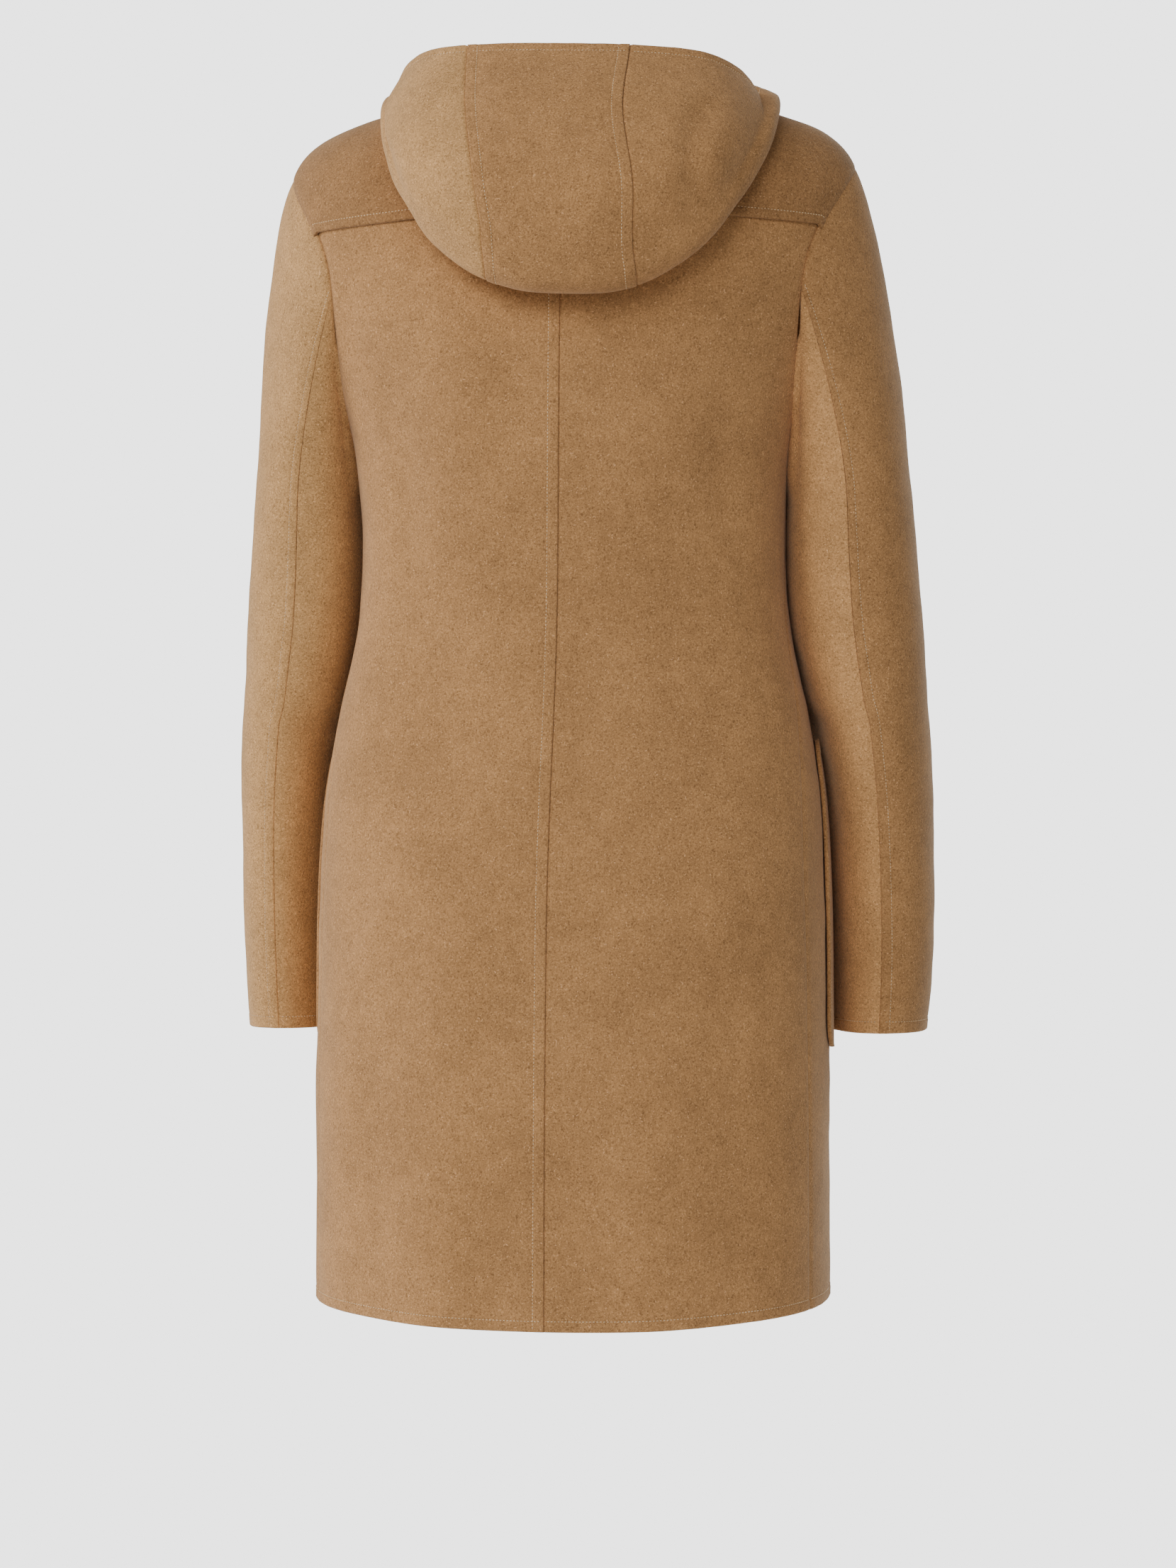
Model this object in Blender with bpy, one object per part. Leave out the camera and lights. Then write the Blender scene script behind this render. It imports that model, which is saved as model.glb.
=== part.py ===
"""Duffle coat, worn, with its hood down on the back.

Metres, +Z up. The wearer faces -Y and +X is the wearer's left. The origin is at the
nape, where the hood is sewn to the neckline and the coat hangs from the shoulders.

Every cloth piece is a wall: a grid of points on its right side, and the same grid moved
in by the cloth's thickness. Two surfaces carry most of them: the body, whose rings run
from the hem up to the neck, and the sleeve, which is lofted from the armhole to the cuff.
"""

import math

import bmesh
import bpy
from mathutils import Matrix, Vector
from mathutils.bvhtree import BVHTree

# Driving dimensions
CLOTH = 0.003                  # heavy felted wool
SEAM_GAP = 0.0003              # between pieces that touch
LAP = CLOTH + SEAM_GAP         # one layer of cloth laid on another
FRONT_LAP = CLOTH + 0.0010     # the right front hangs a little looser over the left
POCKET_LAP = CLOTH + 0.0006
POCKET_GAPE = 0.0012
POCKET_REAR = 0.114            # shares of the way from the side seam to the front edge
POCKET_FORE = 0.548
FRONT_OVERLAP = 0.036          # each front runs this far past the centre
SLEEVE_CUFF_Z = -0.680
YOKE_EDGE_SIDE_Z = -0.089      # lower edge of the yoke at the armholes
YOKE_EDGE_CENTRE_Z = -0.070
POCKET_TOP_Z = -0.462
POCKET_HEIGHT = 0.228
POCKET_CORNER = 0.022
TOGGLE_COUNT = 4
TOGGLE_FIRST_Z = -0.138
TOGGLE_PITCH = 0.100
TOGGLE_LENGTH = 0.050
TOGGLE_RADIUS = 0.0055
TOGGLE_TAPER = 0.35
TOGGLE_RINGS = 10
TOGGLE_CORD_END_X = -0.006
CORD_RADIUS = 0.0016
LOOP_HALF = 0.006              # half the loop's width
LOOP_SLACK = 0.0004            # the loop bridges the hollows of the front
PATCH_X = 0.072
PATCH_WIDTH = 0.030
PATCH_HEIGHT = 0.034
PATCH_THICKNESS = 0.0015
PATCH_GAP = 0.0006             # the flat leather bridges the front's hollows
PATCH_ROUNDING = 0.18
PATCH_STEPS = 4
SHOULDER_TURN = math.radians(3.0)   # the shoulders are turned a little on the hips
SHOULDER_TILT = 0.004               # the right shoulder is carried a little higher

# Rings of the body, hem to neck. The height of a ring differs at side, back and front.
# name, z_side, z_back, z_front, half_width, y_back, y_front, squareness
BODY_RINGS = (
    ("hem",      -0.875, -0.883, -0.880, 0.1907, 0.152, -0.140, 2.5),
    ("thigh",    -0.780, -0.780, -0.780, 0.1907, 0.150, -0.137, 2.5),
    ("wrist",    -0.680, -0.680, -0.680, 0.1900, 0.146, -0.133, 2.5),
    ("seat",     -0.586, -0.586, -0.586, 0.1890, 0.139, -0.128, 2.5),
    ("hip",      -0.505, -0.505, -0.505, 0.1845, 0.127, -0.122, 2.5),
    ("high_hip", -0.440, -0.440, -0.440, 0.1740, 0.114, -0.117, 2.5),
    ("waist",    -0.375, -0.375, -0.375, 0.1605, 0.107, -0.116, 2.5),
    ("rib",      -0.312, -0.312, -0.312, 0.1580, 0.111, -0.121, 2.5),
    ("armpit",   -0.250, -0.250, -0.252, 0.1620, 0.117, -0.127, 2.4),
    ("blade",    -0.188, -0.205, -0.212, 0.1790, 0.119, -0.124, 2.35),
    ("chest",    -0.125, -0.160, -0.172, 0.2000, 0.117, -0.116, 2.3),
    ("cap",      -0.075, -0.124, -0.142, 0.2090, 0.113, -0.108, 2.25),
    ("tip",      -0.040, -0.095, -0.120, 0.2070, 0.108, -0.101, 2.2),
    ("slope",    -0.017, -0.073, -0.106, 0.1880, 0.102, -0.094, 2.15),
    ("shoulder", -0.003, -0.052, -0.092, 0.1560, 0.094, -0.085, 2.1),
    ("collar",    0.008, -0.030, -0.078, 0.1180, 0.082, -0.072, 2.05),
    ("neck",      0.017,  0.000, -0.060, 0.0780, 0.062, -0.055, 2.0),
)
RING_COLUMNS = ("z_side", "z_back", "z_front", "half_width", "y_back", "y_front", "square")
RING_AT = {row[0]: index for index, row in enumerate(BODY_RINGS)}
T_HEM = 0.0
T_ARMPIT = float(RING_AT["armpit"])
T_TIP = float(RING_AT["tip"])
T_NECK = float(RING_AT["neck"])
RING_HEIGHT_POWER = 2.0        # how the ring climbs from back or front to side

ARMHOLE_BACK = math.radians(21.5)     # the armhole's reach round the back
ARMHOLE_FRONT = math.radians(27.0)    # and round the front, cut deeper
SIDE_SEAM_HEM = math.radians(19.0)    # the side seams sit towards the back
ARMHOLE_POWER = 0.72
ARMHOLE_SPACING = 0.9
YOKE_CORNER_TURN = math.radians(45.0)
YOKE_TOP_T = T_NECK - 0.15            # the yoke ends just short of the neck seam

# Grid sizes
SKIRT_ROWS = 11                # hem to armpit
ARMHOLE_ROWS = 12              # armpit to shoulder tip, shared with the sleeve head
SHOULDER_ROWS = 4              # shoulder tip to neck
BACK_COLUMNS = 9
FRONT_COLUMNS = 14
POCKET_ROWS = 10

# Soft folds of the body: angle from the side, height, run, spread, depth
# name, angle_deg, z, half_run, half_spread_deg, depth
BODY_FOLDS = (
    ("below_armhole",   38.0, -0.285, 0.085, 7.0, -0.0035),
    ("blade_swell",     56.0, -0.210, 0.090, 15.0, 0.0030),
    ("waist_hollow",    48.0, -0.400, 0.080, 14.0, -0.0030),
    ("hem_flute",       62.0, -0.800, 0.160, 10.0, 0.0030),
    ("hem_hollow",      42.0, -0.780, 0.170, 9.0, -0.0028),
    ("front_drape",    -46.0, -0.330, 0.110, 9.0, -0.0030),
)

# Sleeve below the armpit: height, outer edge, middle and half depth front to back
# z, outer_left, outer_right, y_middle, half_depth
SLEEVE_RINGS = (
    (-0.290, 0.2447, 0.2520, -0.028, 0.0740),
    (-0.345, 0.2502, 0.2572, -0.031, 0.0700),
    (-0.400, 0.2547, 0.2605, -0.035, 0.0675),
    (-0.460, 0.2590, 0.2635, -0.042, 0.0645),
    (-0.524, 0.2615, 0.2655, -0.048, 0.0615),
    (-0.600, 0.2617, 0.2655, -0.055, 0.0585),
    (-0.640, 0.2607, 0.2637, -0.059, 0.0570),
    (SLEEVE_CUFF_Z, 0.2588, 0.2595, -0.062, 0.0560),
)
SLEEVE_COLUMNS = ("z", "outer_left", "outer_right", "y_middle", "half_depth")
SLEEVE_CLEARANCE = 0.0013      # between the sleeve and what it hangs beside
SLEEVE_SQUARE = 2.25
SLEEVE_COLUMN = math.radians(15.0)
SLEEVE_HEAD_STEPS = 7
SLEEVE_LOWER_STEPS = 11
SLEEVE_PUFF = 0.0026           # the sleeve head stands proud of the armhole seam
BACK_SEAM = math.radians(90.0)
FRONT_SEAM = math.radians(-135.0)

# The hood's sections, numbered from the centre back round to the front end. Each runs
# from the neck seam over a short stand, down the shoulders as the under layer, round the
# lowest roll and back up over itself to the rim.
# Angles are round the body; roll_z and roll are the height and radius of the roll.
# The hood has slipped towards the right; slip is how much of that a section takes.
# neck_deg, roll_deg, roll_z, roll, slip
HOOD_ROLLS = (
    (90.0,  90.0, -0.131, 0.0190, 0.8),
    (67.0,  66.5, -0.125, 0.0185, 0.5),
    (48.0,  49.0, -0.100, 0.0165, 0.5),
    (34.0,  38.0, -0.069, 0.0130, 0.6),
    (22.0,  29.0, -0.040, 0.0095, 0.8),
    (11.0,  18.0, -0.013, 0.0070, 0.8),
    (-2.0,   4.0,  0.002, 0.0056, 0.6),
    (-17.0, -14.0, -0.010, 0.0055, 0.4),
    (-34.0, -33.0, -0.046, 0.0055, 0.1),
    (-50.0, -49.0, -0.064, 0.0055, 0.0),
)
# The upper layer behind: the fullest part of the outer face, and the rim.
# full_x, full_y, full_z, rim_x, rim_y, rim_z
HOOD_FACE = (
    (0.000, 0.177, -0.072, 0.000, 0.110, 0.0375),
    (0.059, 0.170, -0.069, 0.052, 0.106, 0.0375),
    (0.106, 0.147, -0.054, 0.097, 0.092, 0.0360),
    (0.128, 0.115, -0.036, 0.120, 0.068, 0.0300),
    (0.138, 0.074, -0.004, 0.129, 0.046, 0.0220),
    (0.134, 0.040,  0.012, 0.127, 0.024, 0.0200),
)
# In front the upper layer lies on the under layer: how near its rim comes to the neck.
HOOD_RIM_SHARES = (0.70, 0.64, 0.60, 0.56)
HOOD_BULGE = 0.055             # how much the outer face swells between rim and fullest part
HOOD_SLIP = 0.0100
HOOD_SLIP_TURN = HOOD_SLIP / 0.125    # as a turn round the body
HOOD_SLIP_T = HOOD_SLIP / 0.034       # and in rings across the shoulder
HOOD_FACE_SLIP = 0.75          # the upper layer's share of the slip
HOOD_TILT = 0.030              # and it stands higher on the left
HOOD_UNDER = LAP + 0.0022      # the under layer lies this far off the body
HOOD_STAND = 0.0125            # how strongly the cloth rises before it turns down
HOOD_STAND_SHARE = 0.22        # and lies on the coat from this share of its way down
HOOD_RIM_LIFT = 0.0015         # the rim springs up a little in front
HOOD_FOOT_RISE = 0.0008        # the seam stands just clear of the neckline
HOOD_FOOT_OUT = 0.0006
# Stations of the centre panel's two seams: at the roll, then up the face to the rim.
HOOD_SEAM_LEFT = (1.10, 1.02, 1.22, 1.40)
HOOD_SEAM_RIGHT = (-1.00, -0.88, -0.74, -0.88)
HOOD_SEAM_TRIM = 0.6 * SEAM_GAP    # off each edge that is sewn to another panel
HOOD_CENTRE_COLUMNS = 8
HOOD_SIDE_COLUMNS = 15
HOOD_STAND_ROWS = 3
HOOD_UNDER_ROWS = 4
HOOD_ROLL_ROWS = 4
HOOD_FACE_ROWS = 6


# ---------------------------------------------------------------- curves and helpers

def smooth(x):
    """Ease from 0 to 1."""
    x = min(1.0, max(0.0, x))
    return x * x * (3.0 - 2.0 * x)


def cubic(values, t):
    """Catmull-Rom through evenly numbered values, at position t."""
    last = len(values) - 1
    t = min(float(last), max(0.0, t))
    i = min(last - 1, int(t))
    f = t - i
    p1, p2 = values[i], values[i + 1]
    p0 = values[i - 1] if i > 0 else p1 * 2.0 - p2
    p3 = values[i + 2] if i + 2 <= last else p2 * 2.0 - p1
    a = (p1 * 3.0 - p0 - p2 * 3.0 + p3) * (0.5 * f * f * f)
    b = (p0 * 2.0 - p1 * 5.0 + p2 * 4.0 - p3) * (0.5 * f * f)
    return a + b + (p2 - p0) * (0.5 * f) + p1


RINGS = {name: [row[k + 1] for row in BODY_RINGS] for k, name in enumerate(RING_COLUMNS)}


def ring(column, t):
    return cubic(RINGS[column], t)


def lerp(a, b, f):
    return a + (b - a) * f


def bezier(p0, p1, p2, p3, f):
    g = 1.0 - f
    return p0 * g ** 3 + p1 * (3 * g * g * f) + p2 * (3 * g * f * f) + p3 * f ** 3


def bisect(func, low, high, steps=36):
    """Where a steadily changing func crosses zero between low and high."""
    rising = func(high) > func(low)
    for _ in range(steps):
        mid = 0.5 * (low + high)
        if (func(mid) > 0.0) == rising:
            high = mid
        else:
            low = mid
    return 0.5 * (low + high)


def worn(p):
    """Turn and tilt the upper coat on the hips, as it is worn."""
    share = smooth((p.z + 0.60) / 0.45)
    turned = Matrix.Rotation(SHOULDER_TURN * share, 3, "Z") @ p
    turned.z -= SHOULDER_TILT * share * p.x
    return turned


# ---------------------------------------------------------------- the body surface

def fold_depth(angle, z):
    """Soft troughs and swells, the same on both sides."""
    side_angle = angle if abs(angle) <= math.pi / 2 else math.copysign(math.pi, angle) - angle
    depth = 0.0
    for _, degrees, z_mid, run, spread, amount in BODY_FOLDS:
        du = (side_angle - math.radians(degrees)) / math.radians(spread)
        dv = (z - z_mid) / run
        depth += amount * math.exp(-du * du - dv * dv)
    return depth


def body_base(angle, t):
    """Right side of the cloth: angle 0 is the left side, +90 degrees the centre back."""
    half_width = ring("half_width", t)
    back = math.sin(angle) >= 0.0
    reach = ring("y_back", t) if back else -ring("y_front", t)
    square = ring("square", t)
    c = abs(math.cos(angle)) / half_width
    s = abs(math.sin(angle)) / reach
    radius = (c ** square + s ** square) ** (-1.0 / square)
    x = radius * math.cos(angle)
    y = radius * math.sin(angle)
    z_mid = ring("z_back", t) if back else ring("z_front", t)
    climb = (abs(x) / half_width) ** RING_HEIGHT_POWER
    z = lerp(z_mid, ring("z_side", t), climb)
    swell = 1.0 + fold_depth(angle, z) / radius
    return Vector((x * swell, y * swell, z))


def body_normal(angle, t):
    step_a = 0.004
    step_t = 0.02
    t_low = max(T_HEM, t - step_t)
    t_high = min(T_NECK, t + step_t)
    along = body_base(angle + step_a, t) - body_base(angle - step_a, t)
    up = body_base(angle, t_high) - body_base(angle, t_low)
    return along.cross(up).normalized()


def body_point(angle, t, lift=0.0):
    return body_base(angle, t) + body_normal(angle, t) * lift


def side_seam(t):
    return SIDE_SEAM_HEM * smooth((T_ARMPIT - t) / T_ARMPIT * 1.6)


def armhole_share(t):
    return min(1.0, max(0.0, (t - T_ARMPIT) / (T_TIP - T_ARMPIT)))


def armhole(t, reach):
    return reach * math.sin(math.pi * armhole_share(t)) ** ARMHOLE_POWER


def back_edge(t):
    """Outer edge of the back: side seam, then armhole, then shoulder seam."""
    if t <= T_ARMPIT:
        return side_seam(t)
    return armhole(t, ARMHOLE_BACK)


def front_edge(t):
    if t <= T_ARMPIT:
        return side_seam(t)
    return -armhole(t, ARMHOLE_FRONT)


def ring_t(angle, z):
    """The ring position whose point at this angle is at height z."""
    return bisect(lambda t: body_base(angle, t).z - z, T_HEM, T_NECK)


# ---------------------------------------------------------------- meshes

def material(name, colour, roughness):
    made = bpy.data.materials.new(name)
    made.use_nodes = True
    shader = made.node_tree.nodes["Principled BSDF"]
    shader.inputs["Base Color"].default_value = (*colour, 1.0)
    shader.inputs["Roughness"].default_value = roughness
    shader.inputs["Metallic"].default_value = 0.0
    return made


def add_object(name, bm, look):
    bmesh.ops.recalc_face_normals(bm, faces=bm.faces)
    mesh = bpy.data.meshes.new(name)
    bm.to_mesh(mesh)
    bm.free()
    mesh.shade_smooth()
    mesh.set_sharp_from_angle(angle=math.radians(40.0))
    made = bpy.data.objects.new(name, mesh)
    made.data.materials.append(look)
    bpy.context.scene.collection.objects.link(made)
    return made


def wall(name, outer, inner, look):
    """A closed wall from two matching grids of points, rows by columns."""
    rows = len(outer)
    cols = len(outer[0])
    bm = bmesh.new()
    front = [[bm.verts.new(worn(p)) for p in row] for row in outer]
    back = [[bm.verts.new(worn(p)) for p in row] for row in inner]
    for r in range(rows - 1):
        for c in range(cols - 1):
            # both sides are split along the same, shorter diagonal
            falling = (outer[r][c] - outer[r + 1][c + 1]).length
            rising = (outer[r][c + 1] - outer[r + 1][c]).length
            corners = ((r, c), (r, c + 1), (r + 1, c + 1), (r + 1, c))
            if rising < falling:
                corners = corners[1:] + corners[:1]
            for pick in ((0, 1, 2), (0, 2, 3)):
                bm.faces.new([front[corners[k][0]][corners[k][1]] for k in pick])
                bm.faces.new([back[corners[k][0]][corners[k][1]] for k in reversed(pick)])
    edge = [(0, c) for c in range(cols)]
    edge += [(r, cols - 1) for r in range(1, rows)]
    edge += [(rows - 1, c) for c in range(cols - 2, -1, -1)]
    edge += [(r, 0) for r in range(rows - 2, 0, -1)]
    for k, (r, c) in enumerate(edge):
        r2, c2 = edge[(k + 1) % len(edge)]
        bm.faces.new((front[r][c], back[r][c], back[r2][c2], front[r2][c2]))
    return add_object(name, bm, look)


def body_wall(name, places, look, lift=None):
    """A wall on the body surface from a grid of (angle, t); lift(angle, t) raises it."""
    outer = []
    inner = []
    for row in places:
        lifts = [lift(angle, t) if lift else 0.0 for angle, t in row]
        outer.append([body_point(a, t, up) for (a, t), up in zip(row, lifts)])
        inner.append([body_point(a, t, up - CLOTH) for (a, t), up in zip(row, lifts)])
    return wall(name, outer, inner, look)


def ring_steps(t0, t1, count):
    return [lerp(t0, t1, k / count) for k in range(count + 1)]


def armhole_t(turn):
    """Ring position of a point of the armhole: turn 0 is the shoulder tip, pi the armpit."""
    return lerp(T_TIP, T_ARMPIT, (abs(turn) / math.pi) ** ARMHOLE_SPACING)


ARMHOLE_STEPS = [armhole_t(math.pi * (1.0 - k / ARMHOLE_ROWS)) for k in range(ARMHOLE_ROWS + 1)]
YOKE_CORNER_T = armhole_t(YOKE_CORNER_TURN)
BODY_STEPS = (
    ring_steps(T_HEM, T_ARMPIT, SKIRT_ROWS)
    + ARMHOLE_STEPS[1:]
    + ring_steps(T_TIP, T_NECK, SHOULDER_ROWS)[1:-1]
    + [YOKE_TOP_T, T_NECK]
)
YOKE_ROW = min(range(len(BODY_STEPS)), key=lambda k: abs(BODY_STEPS[k] - YOKE_CORNER_T))


def mirrored(angle, side):
    """An angle on the left side, or its mirror on the right."""
    return angle if side > 0 else math.pi - angle


def half_gap(t, angle):
    return 0.5 * SEAM_GAP / body_base(angle, t).xy.length


# ---------------------------------------------------------------- backs, yoke, fronts

def yoke_edge_z(angle):
    across = abs(math.cos(angle))
    return lerp(YOKE_EDGE_CENTRE_Z, YOKE_EDGE_SIDE_Z, smooth(across))


def back_grid(first_row, trim):
    """Places of one back half, centre to outer edge. One row is the yoke's lower edge."""
    places = []
    for t_edge in BODY_STEPS[first_row:]:
        row = []
        edge_angle = back_edge(t_edge)
        for c in range(BACK_COLUMNS + 1):
            angle = lerp(math.pi / 2 - trim, edge_angle, c / BACK_COLUMNS)
            t = t_edge
            if T_ARMPIT < t_edge < T_NECK:
                corner = lerp(math.pi / 2, back_edge(YOKE_CORNER_T), c / BACK_COLUMNS)
                t_yoke = YOKE_CORNER_T
                if c < BACK_COLUMNS:
                    t_yoke = ring_t(corner, yoke_edge_z(corner))
                if t_edge <= YOKE_CORNER_T:
                    share = (t_edge - T_ARMPIT) / (YOKE_CORNER_T - T_ARMPIT)
                    t = lerp(T_ARMPIT, t_yoke, share)
                else:
                    share = (t_edge - YOKE_CORNER_T) / (T_NECK - YOKE_CORNER_T)
                    t = lerp(t_yoke, T_NECK, share)
            if c == 0:
                angle -= half_gap(t, angle) * (trim > 0.0)
            if c == BACK_COLUMNS:
                angle += half_gap(t, angle)
            row.append((angle, t))
        places.append(row)
    return places


def build_back(name, side, look):
    places = back_grid(0, 1e-6)
    body_wall(name, [[(mirrored(a, side), t) for a, t in row] for row in places], look)


def build_yoke(look):
    """One flap across both backs, from armhole to armhole and up to the shoulder seams."""
    places = []
    for half in back_grid(YOKE_ROW, 0.0)[:-1]:
        right = [(mirrored(a, -1), t) for a, t in half[:0:-1]]
        places.append(right + half)
    body_wall("back_yoke", places, look, lambda angle, t: LAP)


def front_lift(side):
    """The right front laps over the left, so it is raised near the centre."""
    def lift(angle, t):
        if side > 0:
            return 0.0
        across = body_base(angle, t).x if math.sin(angle) < 0.0 else -1.0
        return FRONT_LAP * smooth((across + FRONT_OVERLAP + 0.052) / 0.046)
    return lift


def centre_front(t):
    reach = -ring("y_front", t)
    return -math.pi / 2 - math.atan2(FRONT_OVERLAP, reach)


def front_angle(t, share):
    outer_angle = front_edge(t) - half_gap(t, front_edge(t))
    return lerp(outer_angle, centre_front(t), share)


def build_front(name, side, look):
    places = []
    for t in BODY_STEPS:
        row = [front_angle(t, c / FRONT_COLUMNS) for c in range(FRONT_COLUMNS + 1)]
        places.append([(mirrored(a, side), t) for a in row])
    return body_wall(name, places, look, front_lift(side))


# ---------------------------------------------------------------- pockets

def build_pocket(name, side, look):
    """A big patch on the front, its rear edge at the coat's side, its mouth a little open."""
    first = POCKET_REAR * FRONT_COLUMNS
    last = POCKET_FORE * FRONT_COLUMNS
    columns = [first] + [k for k in range(FRONT_COLUMNS) if first < k < last] + [last]
    places = []
    lifts = {}
    for r in range(POCKET_ROWS + 1):
        down = 0.5 - 0.5 * math.cos(math.pi * r / POCKET_ROWS)
        t = ring_t(0.0, POCKET_TOP_Z - POCKET_HEIGHT * down)
        to_end = POCKET_HEIGHT * min(down, 1.0 - down)
        inset = 0.0
        if to_end < POCKET_CORNER:
            inset = POCKET_CORNER - math.sqrt(POCKET_CORNER ** 2 - (POCKET_CORNER - to_end) ** 2)
        panel_length = ring("half_width", t) * (front_edge(t) - centre_front(t)) * 0.9
        turn = inset / panel_length * FRONT_COLUMNS
        row = []
        for k, c in enumerate(columns):
            after_rear = first + turn + 0.25 * k
            before_fore = last - turn - 0.25 * (len(columns) - 1 - k)
            place = min(max(c, after_rear), before_fore) if k else after_rear
            angle = mirrored(front_angle(t, place / FRONT_COLUMNS), side)
            row.append((angle, t))
            across = (c - first) / (last - first)
            lifts[(angle, t)] = POCKET_LAP + POCKET_GAPE * math.sin(math.pi * across) * (1.0 - down) ** 3
        places.append(row)
    body_wall(name, places, look, lambda angle, t: lifts[(angle, t)])


# ---------------------------------------------------------------- sleeves

def side_reach(y, z):
    """How far the body, and the pocket on it, reach to the side at this y and height."""
    t = ring_t(0.0, z)
    depth = ring("y_back", t) if y >= 0.0 else -ring("y_front", t)
    square = ring("square", t)
    inside = max(0.0, 1.0 - (abs(y) / depth) ** square)
    pocket = (POCKET_LAP + POCKET_GAPE) * smooth((POCKET_TOP_Z + 0.030 - z) / 0.020)
    return ring("half_width", t) * inside ** (1.0 / square) + pocket


def armhole_place(turn):
    """A point of the armhole: turn 0 is the shoulder tip, +90 degrees the back."""
    t = armhole_t(turn)
    angle = back_edge(t) if turn >= 0.0 else front_edge(t)
    return angle, t


SLEEVE = {name: [row[k] for row in SLEEVE_RINGS] for k, name in enumerate(SLEEVE_COLUMNS)}


def sleeve_section(side, turn, z):
    """The sleeve below the armpit: an oval, its inner side lying along the body."""
    position = bisect(lambda k: cubic(SLEEVE["z"], k) - z, 0.0, len(SLEEVE_RINGS) - 1.0)
    outer = cubic(SLEEVE["outer_left" if side > 0 else "outer_right"], position)
    c = math.copysign(abs(math.cos(turn)) ** (2.0 / SLEEVE_SQUARE), math.cos(turn))
    s = math.copysign(abs(math.sin(turn)) ** (2.0 / SLEEVE_SQUARE), math.sin(turn))
    y = cubic(SLEEVE["y_middle"], position) + cubic(SLEEVE["half_depth"], position) * s
    inner = side_reach(y, z) + SLEEVE_CLEARANCE
    middle = 0.5 * (side_reach(0.0, z) + outer)
    x = middle + (outer - middle if c > 0.0 else middle - inner) * c
    return Vector((x, y, z))


def sleeve_point(side, turn, s):
    """s 0 to 1 is the head, armhole to armpit level; 1 to 2 runs down to the cuff."""
    top_z = SLEEVE_RINGS[0][0]
    if s >= 1.0:
        return sleeve_section(side, turn, lerp(top_z, SLEEVE_CUFF_Z, s - 1.0))
    high = 0.5 + 0.5 * math.cos(turn)
    angle, t = armhole_place(turn)
    start = body_point(angle, t, SLEEVE_PUFF * smooth(high * 1.6))
    way = Vector((0.10 + 0.38 * high, -0.05 * math.sin(turn), -0.90)).normalized()
    start = start + Vector((0.00035, 0.0, 0.0)) + way * 0.0003
    end = sleeve_section(side, turn, top_z)
    below = sleeve_section(side, turn, top_z - 0.010)
    reach = (end - start).length
    p1 = start + way * (reach * 0.17)
    p2 = end + (end - below).normalized() * (reach * 0.33)
    return bezier(start, p1, p2, end, s)


def sleeve_normal(side, turn, s):
    step = 0.03
    along = sleeve_point(side, turn + step, s) - sleeve_point(side, turn - step, s)
    low = max(0.0, s - 0.02)
    high = min(2.0, s + 0.02)
    down = sleeve_point(side, turn, high) - sleeve_point(side, turn, low)
    return down.cross(along).normalized()


def build_sleeve_piece(name, side, turn0, turn1, look):
    columns = round((turn1 - turn0) / SLEEVE_COLUMN)
    edge = 0.5 * SEAM_GAP / 0.060
    turns = [lerp(turn0, turn1, c / columns) for c in range(columns + 1)]
    turns[0] += edge
    turns[-1] -= edge
    steps = [k / SLEEVE_HEAD_STEPS for k in range(SLEEVE_HEAD_STEPS + 1)]
    steps += [1.0 + (k + 1) / SLEEVE_LOWER_STEPS for k in range(SLEEVE_LOWER_STEPS)]
    outer = []
    inner = []
    for s in steps:
        outer_row = []
        inner_row = []
        for turn in turns:
            wrapped = (turn + math.pi) % (2 * math.pi) - math.pi
            p = sleeve_point(side, wrapped, s)
            n = sleeve_normal(side, wrapped, s)
            near = smooth(1.0 - s / 0.3) * smooth(0.7 + math.cos(wrapped))
            if near > 0.0:
                angle, t = armhole_place(wrapped)
                n = n.lerp(body_normal(angle, t), near).normalized()
            outer_row.append(p)
            inner_row.append(p - n * CLOTH)
        outer.append(outer_row)
        inner.append(inner_row)
    flip = Matrix.Diagonal((float(side), 1.0, 1.0))
    outer = [[flip @ p for p in row] for row in outer]
    inner = [[flip @ p for p in row] for row in inner]
    wall(name, outer, inner, look)


# ---------------------------------------------------------------- hood

def hood_way(neck_angle, roll_angle, roll_t, share, lift, raised):
    """A point off the body, at a share of the way from the neck seam to the roll."""
    angle = lerp(neck_angle, roll_angle, share)
    t = lerp(T_NECK, roll_t, share)
    return body_point(angle, t, lift + raised(angle, t))


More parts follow.
